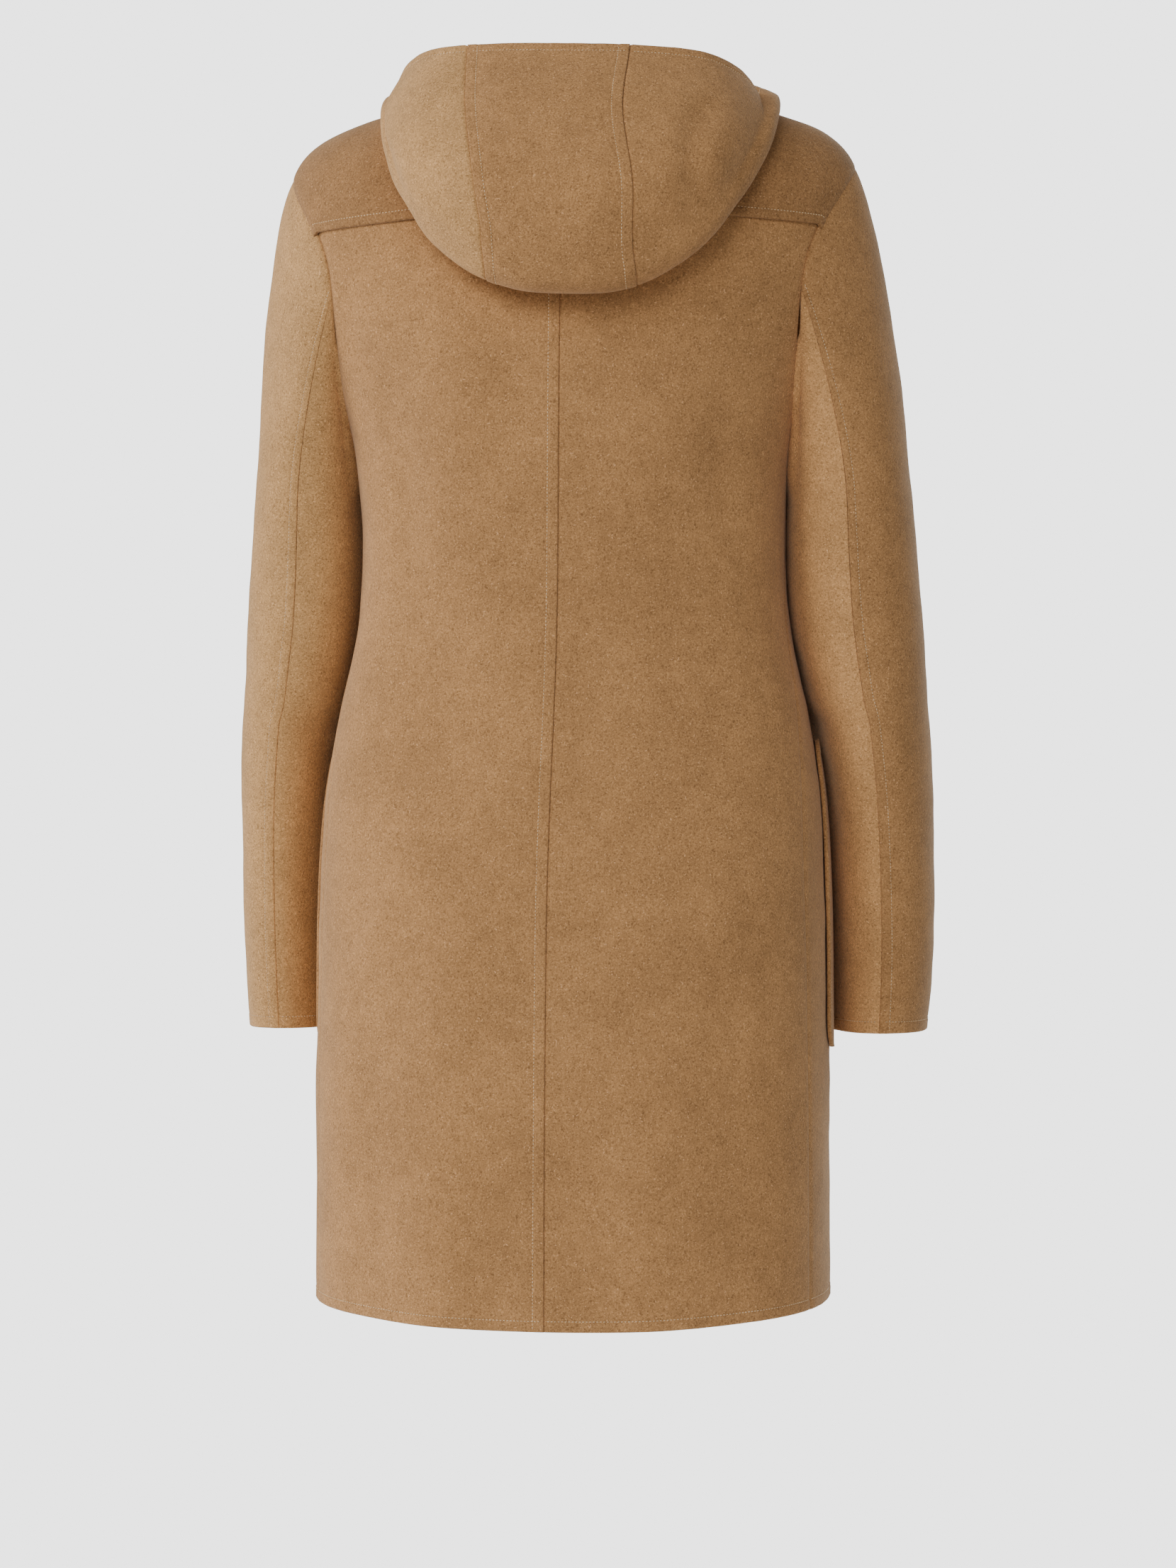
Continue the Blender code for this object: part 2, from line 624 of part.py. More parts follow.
def hood_section(k, side):
    """Angles from the centre back, roll ring and radius, and the upper layer's points."""
    neck_deg, roll_deg, roll_z, roll, slip = HOOD_ROLLS[k]
    neck_angle = math.radians(neck_deg)
    roll_angle = math.radians(roll_deg)
    roll_t = ring_t(roll_angle, roll_z) + side * slip * HOOD_SLIP_T * math.cos(roll_angle)
    roll_angle += side * slip * HOOD_SLIP_TURN * math.sin(roll_angle)
    if k < len(HOOD_FACE):
        shift = Vector((-side * slip * HOOD_SLIP * HOOD_FACE_SLIP, 0.0, 0.0))
        full = Vector(HOOD_FACE[k][0:3])
        rim = Vector(HOOD_FACE[k][3:6])
        full.z += side * HOOD_TILT * full.x
        rim.z += side * HOOD_TILT * rim.x
        out = Vector((full.x, full.y, 0.0)).normalized()
        upper = rim.lerp(full, 0.5) + out * (HOOD_BULGE * (rim - full).length)
        face = [full + shift, upper + shift, rim + shift]
    else:
        rim_share = HOOD_RIM_SHARES[k - len(HOOD_FACE)]
        raised = front_lift(side)
        face = []
        for step in (1, 2, 3):
            lift = HOOD_UNDER + 2.0 * roll + HOOD_RIM_LIFT * step / 3
            share = lerp(1.0, rim_share, step / 3)
            face.append(hood_way(neck_angle, roll_angle, roll_t, share, lift,
                                 lambda angle, t: raised(mirrored(angle, side), t)))
    neck_turn = side * (neck_angle - math.pi / 2)
    roll_turn = side * (roll_angle - math.pi / 2)
    flip = Matrix.Diagonal((side, 1.0, 1.0))
    return (neck_turn, roll_turn, roll_t, roll, *[flip @ p for p in face])


HOOD_LAST = len(HOOD_ROLLS) - 1
HOOD_SECTIONS = [hood_section(k, -1) for k in range(HOOD_LAST, 0, -1)]
HOOD_SECTIONS += [hood_section(k, 1) for k in range(HOOD_LAST + 1)]
HOOD_COLUMNS = [list(column) for column in zip(*HOOD_SECTIONS)]


def paced(points, start_way, u):
    """A smooth curve through points, run at a steady pace and set off along start_way."""
    gaps = [(b - a).length for a, b in zip(points, points[1:])]
    slopes = [start_way]
    for k in range(1, len(points) - 1):
        before, after = gaps[k - 1], gaps[k]
        ahead = (points[k + 1] - points[k]) * (before / after)
        behind = (points[k] - points[k - 1]) * (after / before)
        slopes.append((ahead + behind) / (before + after))
    slopes.append((points[-1] - points[-2]) / gaps[-1])
    walk = u * sum(gaps)
    k = 0
    while k < len(gaps) - 1 and walk > gaps[k]:
        walk -= gaps[k]
        k += 1
    f = walk / gaps[k]
    turn_out = slopes[k] * (gaps[k] * (f ** 3 - 2 * f ** 2 + f))
    turn_in = slopes[k + 1] * (gaps[k] * (f ** 3 - f ** 2))
    return points[k].lerp(points[k + 1], 3 * f ** 2 - 2 * f ** 3) + turn_out + turn_in


def hood_point(station, part, u):
    """Station 0 is the centre back and plus or minus HOOD_LAST the front ends.

    u runs from 0 to 1 along each part: stand, under, roll and face.
    """
    neck, roll_at, roll_t, roll, *face = [cubic(col, station + HOOD_LAST) for col in HOOD_COLUMNS]
    neck += math.pi / 2
    roll_at += math.pi / 2
    raised = front_lift(-1 if station < 0.0 else 1)

    def under(share):
        return hood_way(neck, roll_at, roll_t, share, HOOD_UNDER, raised)

    if part == "under":
        return under(lerp(HOOD_STAND_SHARE, 1.0, u))
    if part == "stand":
        foot = body_point(neck, T_NECK, raised(neck, T_NECK))
        foot += Vector((foot.x, foot.y, 0.0)).normalized() * HOOD_FOOT_OUT
        foot.z += HOOD_FOOT_RISE
        landing = under(HOOD_STAND_SHARE)
        ahead = (under(HOOD_STAND_SHARE + 0.02) - landing).normalized()
        top = foot + Vector((0.0, 0.0, HOOD_STAND))
        return bezier(foot, top, landing - ahead * 0.5 * HOOD_STAND, landing, u)
    low = under(1.0)
    down = (low - under(0.96)).normalized()
    out = body_normal(roll_at, roll_t)
    out = (out - down * out.dot(down)).normalized()
    centre = low + out * roll
    to_full = face[0] - centre
    lean = math.atan2(to_full.dot(out) - roll, -to_full.dot(down))
    sweep = math.pi - max(0.0, lean)
    if part == "roll":
        turn = sweep * u
        return centre + (down * math.sin(turn) - out * math.cos(turn)) * roll
    end = centre + (down * math.sin(sweep) - out * math.cos(sweep)) * roll
    return paced([end] + face, down * math.cos(sweep) + out * math.sin(sweep), u)


HOOD_PARTS = (
    ("stand", HOOD_STAND_ROWS),
    ("under", HOOD_UNDER_ROWS),
    ("roll", HOOD_ROLL_ROWS),
    ("face", HOOD_FACE_ROWS),
)


def hood_rows():
    rows = [(part, k / count) for part, count in HOOD_PARTS for k in range(count)]
    return rows + [(HOOD_PARTS[-1][0], 1.0)]


def hood_step(station, row, shift):
    """The point a little further along the section, past the end of a part if need be."""
    part, u = row
    names = [name for name, _ in HOOD_PARTS]
    k = names.index(part)
    u += shift
    if u < 0.0 and k > 0:
        return hood_point(station, names[k - 1], 1.0 + shift)
    return hood_point(station, part, min(1.0, max(0.0, u)))


def hood_normal(station, row):
    last = float(HOOD_LAST)
    ahead = hood_point(min(last, station + 0.03), *row)
    behind = hood_point(max(-last, station - 0.03), *row)
    along = hood_step(station, row, 0.04) - hood_step(station, row, -0.04)
    return along.cross(ahead - behind).normalized()


def hood_seam(stations, row):
    part, u = row
    return cubic(stations, 3.0 * u) if part == "face" else stations[0]


def build_hood_piece(name, first_edge, last_edge, columns, look):
    """One panel of the hood, between two stations or seams."""
    outer = []
    inner = []
    for row in hood_rows():
        ends = []
        for edge, inward in ((first_edge, 1.0), (last_edge, -1.0)):
            if isinstance(edge, tuple):
                station = hood_seam(edge, row)
                width = (hood_point(station + 0.05, *row) - hood_point(station - 0.05, *row)).length
                ends.append(station + inward * 0.1 * HOOD_SEAM_TRIM / width)
            else:
                ends.append(edge)
        outer_row = []
        inner_row = []
        for c in range(columns + 1):
            station = lerp(ends[0], ends[1], c / columns)
            p = hood_point(station, *row)
            n = hood_normal(station, row)
            outer_row.append(p)
            inner_row.append(p - n * CLOTH)
        outer.append(outer_row)
        inner.append(inner_row)
    wall(name, outer, inner, look)


# ---------------------------------------------------------------- toggles

class Fronts:
    """The two fronts as built, to seat the toggles' pieces on."""

    def __init__(self, fronts):
        self.trees = []
        for front in fronts:
            bm = bmesh.new()
            bm.from_mesh(front.data)
            self.trees.append(BVHTree.FromBMesh(bm))
            bm.free()

    def seat(self, x, z, lift):
        """The point lifted off the outermost front at this x and z."""
        start = Vector((x, -1.0, z))
        hits = [tree.ray_cast(start, Vector((0.0, 1.0, 0.0)))[0] for tree in self.trees]
        y = min(hit.y for hit in hits if hit is not None)
        return Vector((x, y - lift, z))


def build_patch(name, fronts, x_mid, z_mid, look):
    """A small rounded leather patch, following the front it is sewn to."""
    bm = bmesh.new()
    steps = PATCH_STEPS
    grids = []
    for lift in (PATCH_GAP + PATCH_THICKNESS, PATCH_GAP):
        grid = []
        for r in range(steps + 1):
            v = 2.0 * r / steps - 1.0
            row = []
            for c in range(steps + 1):
                u = 2.0 * c / steps - 1.0
                # a square grid drawn in to a rounded square
                x = x_mid + 0.5 * PATCH_WIDTH * u * math.sqrt(1.0 - PATCH_ROUNDING * v * v)
                z = z_mid + 0.5 * PATCH_HEIGHT * v * math.sqrt(1.0 - PATCH_ROUNDING * u * u)
                row.append(bm.verts.new(fronts.seat(x, z, lift)))
            grid.append(row)
        grids.append(grid)
    top, base = grids
    for r in range(steps):
        for c in range(steps):
            bm.faces.new((top[r][c], top[r][c + 1], top[r + 1][c + 1], top[r + 1][c]))
            bm.faces.new((base[r][c], base[r + 1][c], base[r + 1][c + 1], base[r][c + 1]))
    edge = [(0, c) for c in range(steps)] + [(r, steps) for r in range(steps)]
    edge += [(steps, c) for c in range(steps, 0, -1)] + [(r, 0) for r in range(steps, 0, -1)]
    for k, (r, c) in enumerate(edge):
        r2, c2 = edge[(k + 1) % len(edge)]
        bm.faces.new((top[r][c], base[r][c], base[r2][c2], top[r2][c2]))
    bmesh.ops.triangulate(bm, faces=bm.faces)
    return add_object(name, bm, look)


def build_tube(name, path, radius, look):
    """A round cord along a path, with flat ends."""
    sides = 8
    bm = bmesh.new()
    rings = []
    for k, point in enumerate(path):
        ahead = path[min(k + 1, len(path) - 1)] - path[max(k - 1, 0)]
        turn = ahead.to_track_quat("Z", "Y").to_matrix()
        ring_points = []
        for i in range(sides):
            a = 2.0 * math.pi * i / sides
            ring_points.append(bm.verts.new(point + turn @ Vector((math.cos(a), math.sin(a), 0.0)) * radius))
        rings.append(ring_points)
    for low, high in zip(rings, rings[1:]):
        for i in range(sides):
            j = (i + 1) % sides
            bm.faces.new((low[i], low[j], high[j], high[i]))
    bm.faces.new(rings[0][::-1])
    bm.faces.new(rings[-1])
    return add_object(name, bm, look)


def build_toggle(name, centre, look):
    """A tapered wooden rod with rounded ends, lying across the opening."""
    sides = 10
    half = 0.5 * TOGGLE_LENGTH
    bm = bmesh.new()
    rings = []
    for k in range(1, TOGGLE_RINGS):
        along = -math.cos(math.pi * k / TOGGLE_RINGS)
        radius = TOGGLE_RADIUS * (1.0 - TOGGLE_TAPER * along * along) * (1.0 - along ** 12) ** 0.5
        ring_points = []
        for i in range(sides):
            a = 2.0 * math.pi * i / sides
            offset = Vector((along * half, radius * math.cos(a), radius * math.sin(a)))
            ring_points.append(bm.verts.new(centre + offset))
        rings.append(ring_points)
    for low, high in zip(rings, rings[1:]):
        for i in range(sides):
            j = (i + 1) % sides
            bm.faces.new((low[i], low[j], high[j], high[i]))
    bm.faces.new(rings[0][::-1])
    bm.faces.new(rings[-1])
    return add_object(name, bm, look)


def build_closure(number, z, fronts, leather, wood):
    """One toggle: its patch and cord on the left front, the loop's on the right front."""
    build_patch("patch_toggle_%d" % number, fronts, PATCH_X, z, leather)
    build_patch("patch_loop_%d" % number, fronts, -PATCH_X, z, leather)

    over = SEAM_GAP + CORD_RADIUS
    start = -PATCH_X + 0.5 * PATCH_WIDTH + SEAM_GAP
    path = [(lerp(start, 0.0, k / 4), LOOP_HALF) for k in range(4)]
    path += [(LOOP_HALF * math.sin(a), LOOP_HALF * math.cos(a))
             for a in (math.pi * k / 8 for k in range(9))]
    path += [(lerp(0.0, start, (k + 1) / 4), -LOOP_HALF) for k in range(4)]
    laid = [fronts.seat(x, z + dz, over + LOOP_SLACK) for x, dz in path]
    build_tube("loop_%d" % number, laid, CORD_RADIUS, leather)

    # the toggle's cord climbs over the edge of the right front and the end of the loop
    crest = 3.0 * CORD_RADIUS + 2.0 * SEAM_GAP + LOOP_SLACK
    level = fronts.seat(0.0, z, 0.0).y
    cord = []
    for k in range(9):
        x = lerp(PATCH_X - 0.5 * PATCH_WIDTH - SEAM_GAP, TOGGLE_CORD_END_X, k / 8)
        share = smooth((FRONT_OVERLAP + 0.016 - x) / 0.014)
        low_y = fronts.seat(max(x, FRONT_OVERLAP + 0.012), z, over).y
        high_y = level - crest
        cord.append(Vector((x, lerp(low_y, high_y, share), z)))
    build_tube("toggle_cord_%d" % number, cord, CORD_RADIUS, leather)
    axis_y = level - crest - CORD_RADIUS - SEAM_GAP - TOGGLE_RADIUS
    build_toggle("toggle_%d" % number, Vector((0.0, axis_y, z)), wood)


def main():
    for old in list(bpy.data.objects):
        bpy.data.objects.remove(old, do_unlink=True)

    camel = material("camel_wool", (0.42, 0.25, 0.125), 0.95)
    leather = material("brown_leather", (0.13, 0.065, 0.035), 0.55)
    wood = material("toggle_wood", (0.28, 0.15, 0.07), 0.45)

    build_back("back_left", 1, camel)
    build_back("back_right", -1, camel)
    build_yoke(camel)
    front_left = build_front("front_left", 1, camel)
    front_right = build_front("front_right", -1, camel)
    build_pocket("pocket_left", 1, camel)
    build_pocket("pocket_right", -1, camel)
    for side, label in ((1, "left"), (-1, "right")):
        build_sleeve_piece("sleeve_upper_" + label, side, FRONT_SEAM, BACK_SEAM, camel)
        build_sleeve_piece("sleeve_under_" + label, side, BACK_SEAM, FRONT_SEAM + 2 * math.pi, camel)
    build_hood_piece("hood_centre", HOOD_SEAM_RIGHT, HOOD_SEAM_LEFT, HOOD_CENTRE_COLUMNS, camel)
    build_hood_piece("hood_left", HOOD_SEAM_LEFT, HOOD_LAST, HOOD_SIDE_COLUMNS, camel)
    build_hood_piece("hood_right", -HOOD_LAST, HOOD_SEAM_RIGHT, HOOD_SIDE_COLUMNS, camel)
    fronts = Fronts((front_left, front_right))
    for k in range(TOGGLE_COUNT):
        build_closure(k + 1, TOGGLE_FIRST_Z - k * TOGGLE_PITCH, fronts, leather, wood)


main()
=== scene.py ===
"""Looks of the duffle coat: worn with no wearer, seen from behind, hood down on the back."""
import math

import bpy
import numpy as np
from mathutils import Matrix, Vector


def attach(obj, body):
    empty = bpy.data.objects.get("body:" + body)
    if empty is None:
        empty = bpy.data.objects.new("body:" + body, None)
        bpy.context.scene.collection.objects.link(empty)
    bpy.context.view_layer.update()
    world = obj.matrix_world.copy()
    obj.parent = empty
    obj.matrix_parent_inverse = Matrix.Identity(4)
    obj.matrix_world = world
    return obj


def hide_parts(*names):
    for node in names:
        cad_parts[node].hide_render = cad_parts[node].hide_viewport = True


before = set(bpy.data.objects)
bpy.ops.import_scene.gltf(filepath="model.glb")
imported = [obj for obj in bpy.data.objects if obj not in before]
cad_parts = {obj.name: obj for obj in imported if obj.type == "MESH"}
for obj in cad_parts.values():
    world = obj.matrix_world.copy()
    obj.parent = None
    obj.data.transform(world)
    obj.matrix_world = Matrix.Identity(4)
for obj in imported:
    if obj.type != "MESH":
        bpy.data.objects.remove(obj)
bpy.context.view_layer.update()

# ---------------- sizes of the cut, in metres

CLOTH = 0.003
SEAM_GAP = 0.0003
LAP = CLOTH + SEAM_GAP
FRONT_LAP = CLOTH + 0.0010
POCKET_LAP = CLOTH + 0.0006
POCKET_GAPE = 0.0012
POCKET_REAR = 0.114
POCKET_FORE = 0.548
FRONT_OVERLAP = 0.036
FRONT_LIFT_REACH = 0.052   # the lift of the right front ends this far past the overlap
FRONT_LIFT_RUN = 0.046
SLEEVE_CUFF_Z = -0.680
YOKE_EDGE_SIDE_Z = -0.089
YOKE_EDGE_CENTRE_Z = -0.070
POCKET_TOP_Z = -0.462
POCKET_HEIGHT = 0.228
POCKET_CORNER = 0.022
POCKET_WIDTH_SHARE = 0.9   # of the front's arc, where its corners are measured
SHOULDER_TURN = math.radians(3.0)
SHOULDER_TILT = 0.004
HIP_Z = -0.60          # the turn and tilt start here
HIP_TO_CHEST = 0.45    # and are whole this far above

# z_side, z_back, z_front, half_width, y_back, y_front, squareness
BODY_RINGS = np.array((
    (-0.875, -0.883, -0.880, 0.1907, 0.152, -0.140, 2.5),
    (-0.780, -0.780, -0.780, 0.1907, 0.150, -0.137, 2.5),
    (-0.680, -0.680, -0.680, 0.1900, 0.146, -0.133, 2.5),
    (-0.586, -0.586, -0.586, 0.1890, 0.139, -0.128, 2.5),
    (-0.505, -0.505, -0.505, 0.1845, 0.127, -0.122, 2.5),
    (-0.440, -0.440, -0.440, 0.1740, 0.114, -0.117, 2.5),
    (-0.375, -0.375, -0.375, 0.1605, 0.107, -0.116, 2.5),
    (-0.312, -0.312, -0.312, 0.1580, 0.111, -0.121, 2.5),
    (-0.250, -0.250, -0.252, 0.1620, 0.117, -0.127, 2.4),
    (-0.188, -0.205, -0.212, 0.1790, 0.119, -0.124, 2.35),
    (-0.125, -0.160, -0.172, 0.2000, 0.117, -0.116, 2.3),
    (-0.075, -0.124, -0.142, 0.2090, 0.113, -0.108, 2.25),
    (-0.040, -0.095, -0.120, 0.2070, 0.108, -0.101, 2.2),
    (-0.017, -0.073, -0.106, 0.1880, 0.102, -0.094, 2.15),
    (-0.003, -0.052, -0.092, 0.1560, 0.094, -0.085, 2.1),
    (0.008, -0.030, -0.078, 0.1180, 0.082, -0.072, 2.05),
    (0.017, 0.000, -0.060, 0.0780, 0.062, -0.055, 2.0),
))
RING_COLUMN = {n: k for k, n in enumerate(
    ("z_side", "z_back", "z_front", "half_width", "y_back", "y_front", "square"))}
T_HEM, T_ARMPIT, T_TIP, T_NECK = 0.0, 8.0, 12.0, 16.0
ARMHOLE_BACK = math.radians(21.5)
ARMHOLE_FRONT = math.radians(27.0)
SIDE_SEAM_HEM = math.radians(19.0)
ARMHOLE_POWER = 0.72
ARMHOLE_SPACING = 0.9
YOKE_CORNER_TURN = math.radians(45.0)
YOKE_TOP_T = T_NECK - 0.15
PROBE_T = 0.02         # the steps to a neighbouring point, to find the body's normal
PROBE_TURN = 0.004

# angle_deg, z, half_run, half_spread_deg, depth
BODY_FOLDS = (
    (38.0, -0.285, 0.085, 7.0, -0.0035),
    (56.0, -0.210, 0.090, 15.0, 0.0030),
    (48.0, -0.400, 0.080, 14.0, -0.0030),
    (62.0, -0.800, 0.160, 10.0, 0.0030),
    (42.0, -0.780, 0.170, 9.0, -0.0028),
    (-46.0, -0.330, 0.110, 9.0, -0.0030),
)

# z, outer_left, outer_right, y_middle, half_depth
SLEEVE_RINGS = np.array((
    (-0.290, 0.2447, 0.2520, -0.028, 0.0740),
    (-0.345, 0.2502, 0.2572, -0.031, 0.0700),
    (-0.400, 0.2547, 0.2605, -0.035, 0.0675),
    (-0.460, 0.2590, 0.2635, -0.042, 0.0645),
    (-0.524, 0.2615, 0.2655, -0.048, 0.0615),
    (-0.600, 0.2617, 0.2655, -0.055, 0.0585),
    (-0.640, 0.2607, 0.2637, -0.059, 0.0570),
    (SLEEVE_CUFF_Z, 0.2588, 0.2595, -0.062, 0.0560),
))
SLEEVE_CLEARANCE = 0.0013
SLEEVE_PRESS = 0.0027    # how much closer the sleeve lies below the armpit
SLEEVE_PRESS_Z = -0.40   # the press below the armpit fades out down to here
SLEEVE_PRESS_RUN = 0.08
SLEEVE_SQUARE = 2.25
SLEEVE_PUFF = 0.0026
SLEEVE_TICKS = 701
SLEEVE_RADIUS = 0.060    # about, to turn the seam's gap into an angle
HEAD_OUT = 0.00035       # the head starts this far out of the armhole
HEAD_OFF = 0.0003
HEAD_START_PULL = 0.17   # how far the head's curve follows its end directions
HEAD_END_PULL = 0.33
HEAD_PRESSED_FROM = (0.40, 0.72)   # how inward a point faces to be pressed, at the start and below
BACK_SEAM = math.radians(90.0)
FRONT_SEAM = math.radians(-135.0)

# neck_deg, roll_deg, roll_z, roll, slip
HOOD_ROLLS = (
    (90.0, 90.0, -0.131, 0.0190, 0.8),
    (67.0, 66.5, -0.125, 0.0185, 0.5),
    (48.0, 49.0, -0.100, 0.0165, 0.5),
    (34.0, 38.0, -0.069, 0.0130, 0.6),
    (22.0, 29.0, -0.040, 0.0095, 0.8),
    (11.0, 18.0, -0.013, 0.0070, 0.8),
    (-2.0, 4.0, 0.002, 0.0056, 0.6),
    (-17.0, -14.0, -0.010, 0.0055, 0.4),
    (-34.0, -33.0, -0.046, 0.0055, 0.1),
    (-50.0, -49.0, -0.064, 0.0055, 0.0),
)
# full_x, full_y, full_z, rim_x, rim_y, rim_z
HOOD_FACE = (
    (0.000, 0.177, -0.072, 0.000, 0.110, 0.0375),
    (0.059, 0.170, -0.069, 0.052, 0.106, 0.0375),
    (0.106, 0.147, -0.054, 0.097, 0.092, 0.0360),
    (0.128, 0.115, -0.036, 0.120, 0.068, 0.0300),
    (0.138, 0.074, -0.004, 0.129, 0.046, 0.0220),
    (0.134, 0.040, 0.012, 0.127, 0.024, 0.0200),
)
HOOD_RIM_SHARES = (0.70, 0.64, 0.60, 0.56)
HOOD_BULGE = 0.055
HOOD_SLIP = 0.0100
HOOD_SLIP_TURN = HOOD_SLIP / 0.125
HOOD_SLIP_T = HOOD_SLIP / 0.034
HOOD_FACE_SLIP = 0.75
HOOD_TILT = 0.030
HOOD_UNDER = LAP + 0.0022
HOOD_STAND = 0.0125
HOOD_STAND_SHARE = 0.22
HOOD_RIM_LIFT = 0.0015
HOOD_FOOT_RISE = 0.0008
HOOD_FOOT_OUT = 0.0006
HOOD_SEAM_LEFT = (1.10, 1.02, 1.22, 1.40)
HOOD_SEAM_RIGHT = (-1.00, -0.88, -0.74, -0.88)
HOOD_SEAM_TRIM = 0.6 * SEAM_GAP
HOOD_PROBE = 0.05      # half a station's step, to measure the width there
HOOD_LAST = len(HOOD_ROLLS) - 1

TAU = 2.0 * math.pi


# ---------------- curves, on whole arrays

def smooth(x):
    x = np.clip(x, 0.0, 1.0)
    return x * x * (3.0 - 2.0 * x)


def lerp(a, b, f):
    return a + (b - a) * f


def spread(a):
    return np.asarray(a)[..., None]


def cubic(values, t):
    """Catmull-Rom through evenly numbered values."""
    v = np.asarray(values, float)
    last = len(v) - 1
    v = np.concatenate([[2 * v[0] - v[1]], v, [2 * v[-1] - v[-2]]])
    t = np.clip(np.asarray(t, float), 0.0, last)
    i = np.minimum(last - 1, t.astype(int))
    f = t - i
    if v.ndim > 1:
        f = f[..., None]
    p0, p1, p2, p3 = v[i], v[i + 1], v[i + 2], v[i + 3]
    a = (p1 * 3.0 - p0 - p2 * 3.0 + p3) * (0.5 * f * f * f)
    b = (p0 * 2.0 - p1 * 5.0 + p2 * 4.0 - p3) * (0.5 * f * f)
    return a + b + (p2 - p0) * (0.5 * f) + p1


def bezier(p0, p1, p2, p3, f):
    g = 1.0 - f
    return p0 * g ** 3 + p1 * (3 * g * g * f) + p2 * (3 * g * f * f) + p3 * f ** 3


def bisect(func, low, high, shape, steps=32):
    low = np.full(shape, float(low))
    high = np.full(shape, float(high))
    rising = func(high) > func(low)
    for _ in range(steps):
        mid = 0.5 * (low + high)
        up = (func(mid) > 0.0) == rising
        high = np.where(up, mid, high)
        low = np.where(up, low, mid)
    return 0.5 * (low + high)


def unit(v):
    return v / np.maximum(np.linalg.norm(v, axis=-1, keepdims=True), 1e-12)


def ring(column, t):
    return cubic(BODY_RINGS[:, RING_COLUMN[column]], t)


def worn(p):
    """Turns and tilts the upper coat on the hips, as it is worn."""
    share = smooth((p[..., 2] - HIP_Z) / HIP_TO_CHEST)
    a = SHOULDER_TURN * share
    x = p[..., 0] * np.cos(a) - p[..., 1] * np.sin(a)
    y = p[..., 0] * np.sin(a) + p[..., 1] * np.cos(a)
    z = p[..., 2] - SHOULDER_TILT * share * p[..., 0]
    return np.stack([x, y, z], axis=-1)


# ---------------- body surface

def fold_depth(angle, z):
    side_angle = np.where(np.abs(angle) <= math.pi / 2, angle,
                          np.copysign(math.pi, angle) - angle)
    depth = 0.0
    for degrees, z_mid, run, width, amount in BODY_FOLDS:
        du = (side_angle - math.radians(degrees)) / math.radians(width)
        dv = (z - z_mid) / run
        depth = depth + amount * np.exp(-du * du - dv * dv)
    return depth


def body_base(angle, t):
    angle, t = np.broadcast_arrays(np.asarray(angle, float), np.asarray(t, float))
    half_width = ring("half_width", t)
    back = np.sin(angle) >= 0.0
    reach = np.where(back, ring("y_back", t), -ring("y_front", t))
    square = ring("square", t)
    c = np.abs(np.cos(angle)) / half_width
    s = np.abs(np.sin(angle)) / reach
    radius = (c ** square + s ** square) ** (-1.0 / square)
    x = radius * np.cos(angle)
    y = radius * np.sin(angle)
    z_mid = np.where(back, ring("z_back", t), ring("z_front", t))
    z = lerp(z_mid, ring("z_side", t), (np.abs(x) / half_width) ** 2.0)
    swell = 1.0 + fold_depth(angle, z) / radius
    return np.stack([x * swell, y * swell, z], axis=-1)


def body_normal(angle, t):
    t_low = np.maximum(T_HEM, t - PROBE_T)
    t_high = np.minimum(T_NECK, t + PROBE_T)
    along = body_base(angle + PROBE_TURN, t) - body_base(angle - PROBE_TURN, t)
    up = body_base(angle, t_high) - body_base(angle, t_low)
    return unit(np.cross(along, up))


def body_point(angle, t, lift=0.0):
    return body_base(angle, t) + body_normal(angle, t) * spread(lift)


def side_seam(t):
    return SIDE_SEAM_HEM * smooth((T_ARMPIT - t) / T_ARMPIT * 1.6)


def armhole(t, reach):
    share = np.clip((t - T_ARMPIT) / (T_TIP - T_ARMPIT), 0.0, 1.0)
    return reach * np.maximum(0.0, np.sin(math.pi * share)) ** ARMHOLE_POWER


def back_edge(t):
    return np.where(t <= T_ARMPIT, side_seam(t), armhole(t, ARMHOLE_BACK))


def front_edge(t):
    return np.where(t <= T_ARMPIT, side_seam(t), -armhole(t, ARMHOLE_FRONT))


def ring_t(angle, z):
    angle, z = np.broadcast_arrays(np.asarray(angle, float), np.asarray(z, float))
    return bisect(lambda t: body_base(angle, t)[..., 2] - z, T_HEM, T_NECK, z.shape)


def armhole_t(turn):
    return lerp(T_TIP, T_ARMPIT, (np.abs(turn) / math.pi) ** ARMHOLE_SPACING)


YOKE_CORNER_T = float(armhole_t(YOKE_CORNER_TURN))


def mirrored(angle, side):
    return angle if side > 0 else math.pi - angle


def half_gap(t, angle):
    return 0.5 * SEAM_GAP / np.linalg.norm(body_base(angle, t)[..., :2], axis=-1)


def yoke_edge_z(angle):
    return lerp(YOKE_EDGE_CENTRE_Z, YOKE_EDGE_SIDE_Z, smooth(np.abs(np.cos(angle))))


def back_place(t_edge, share, centred):
    """Angle and ring of a point of the back: share 0 is the centre seam, 1 the outer edge."""
    angle = lerp(math.pi / 2, back_edge(t_edge), share)
    t_yoke = YOKE_T(share)
    low = lerp(T_ARMPIT, t_yoke, (t_edge - T_ARMPIT) / (YOKE_CORNER_T - T_ARMPIT))
    high = lerp(t_yoke, T_NECK, (t_edge - YOKE_CORNER_T) / (T_NECK - YOKE_CORNER_T))
    t = np.where(t_edge <= T_ARMPIT, t_edge, np.where(t_edge <= YOKE_CORNER_T, low, high))
    if centred:
        angle = angle - half_gap(t, angle) * (1.0 - share)
    return angle + half_gap(t, angle) * share, t


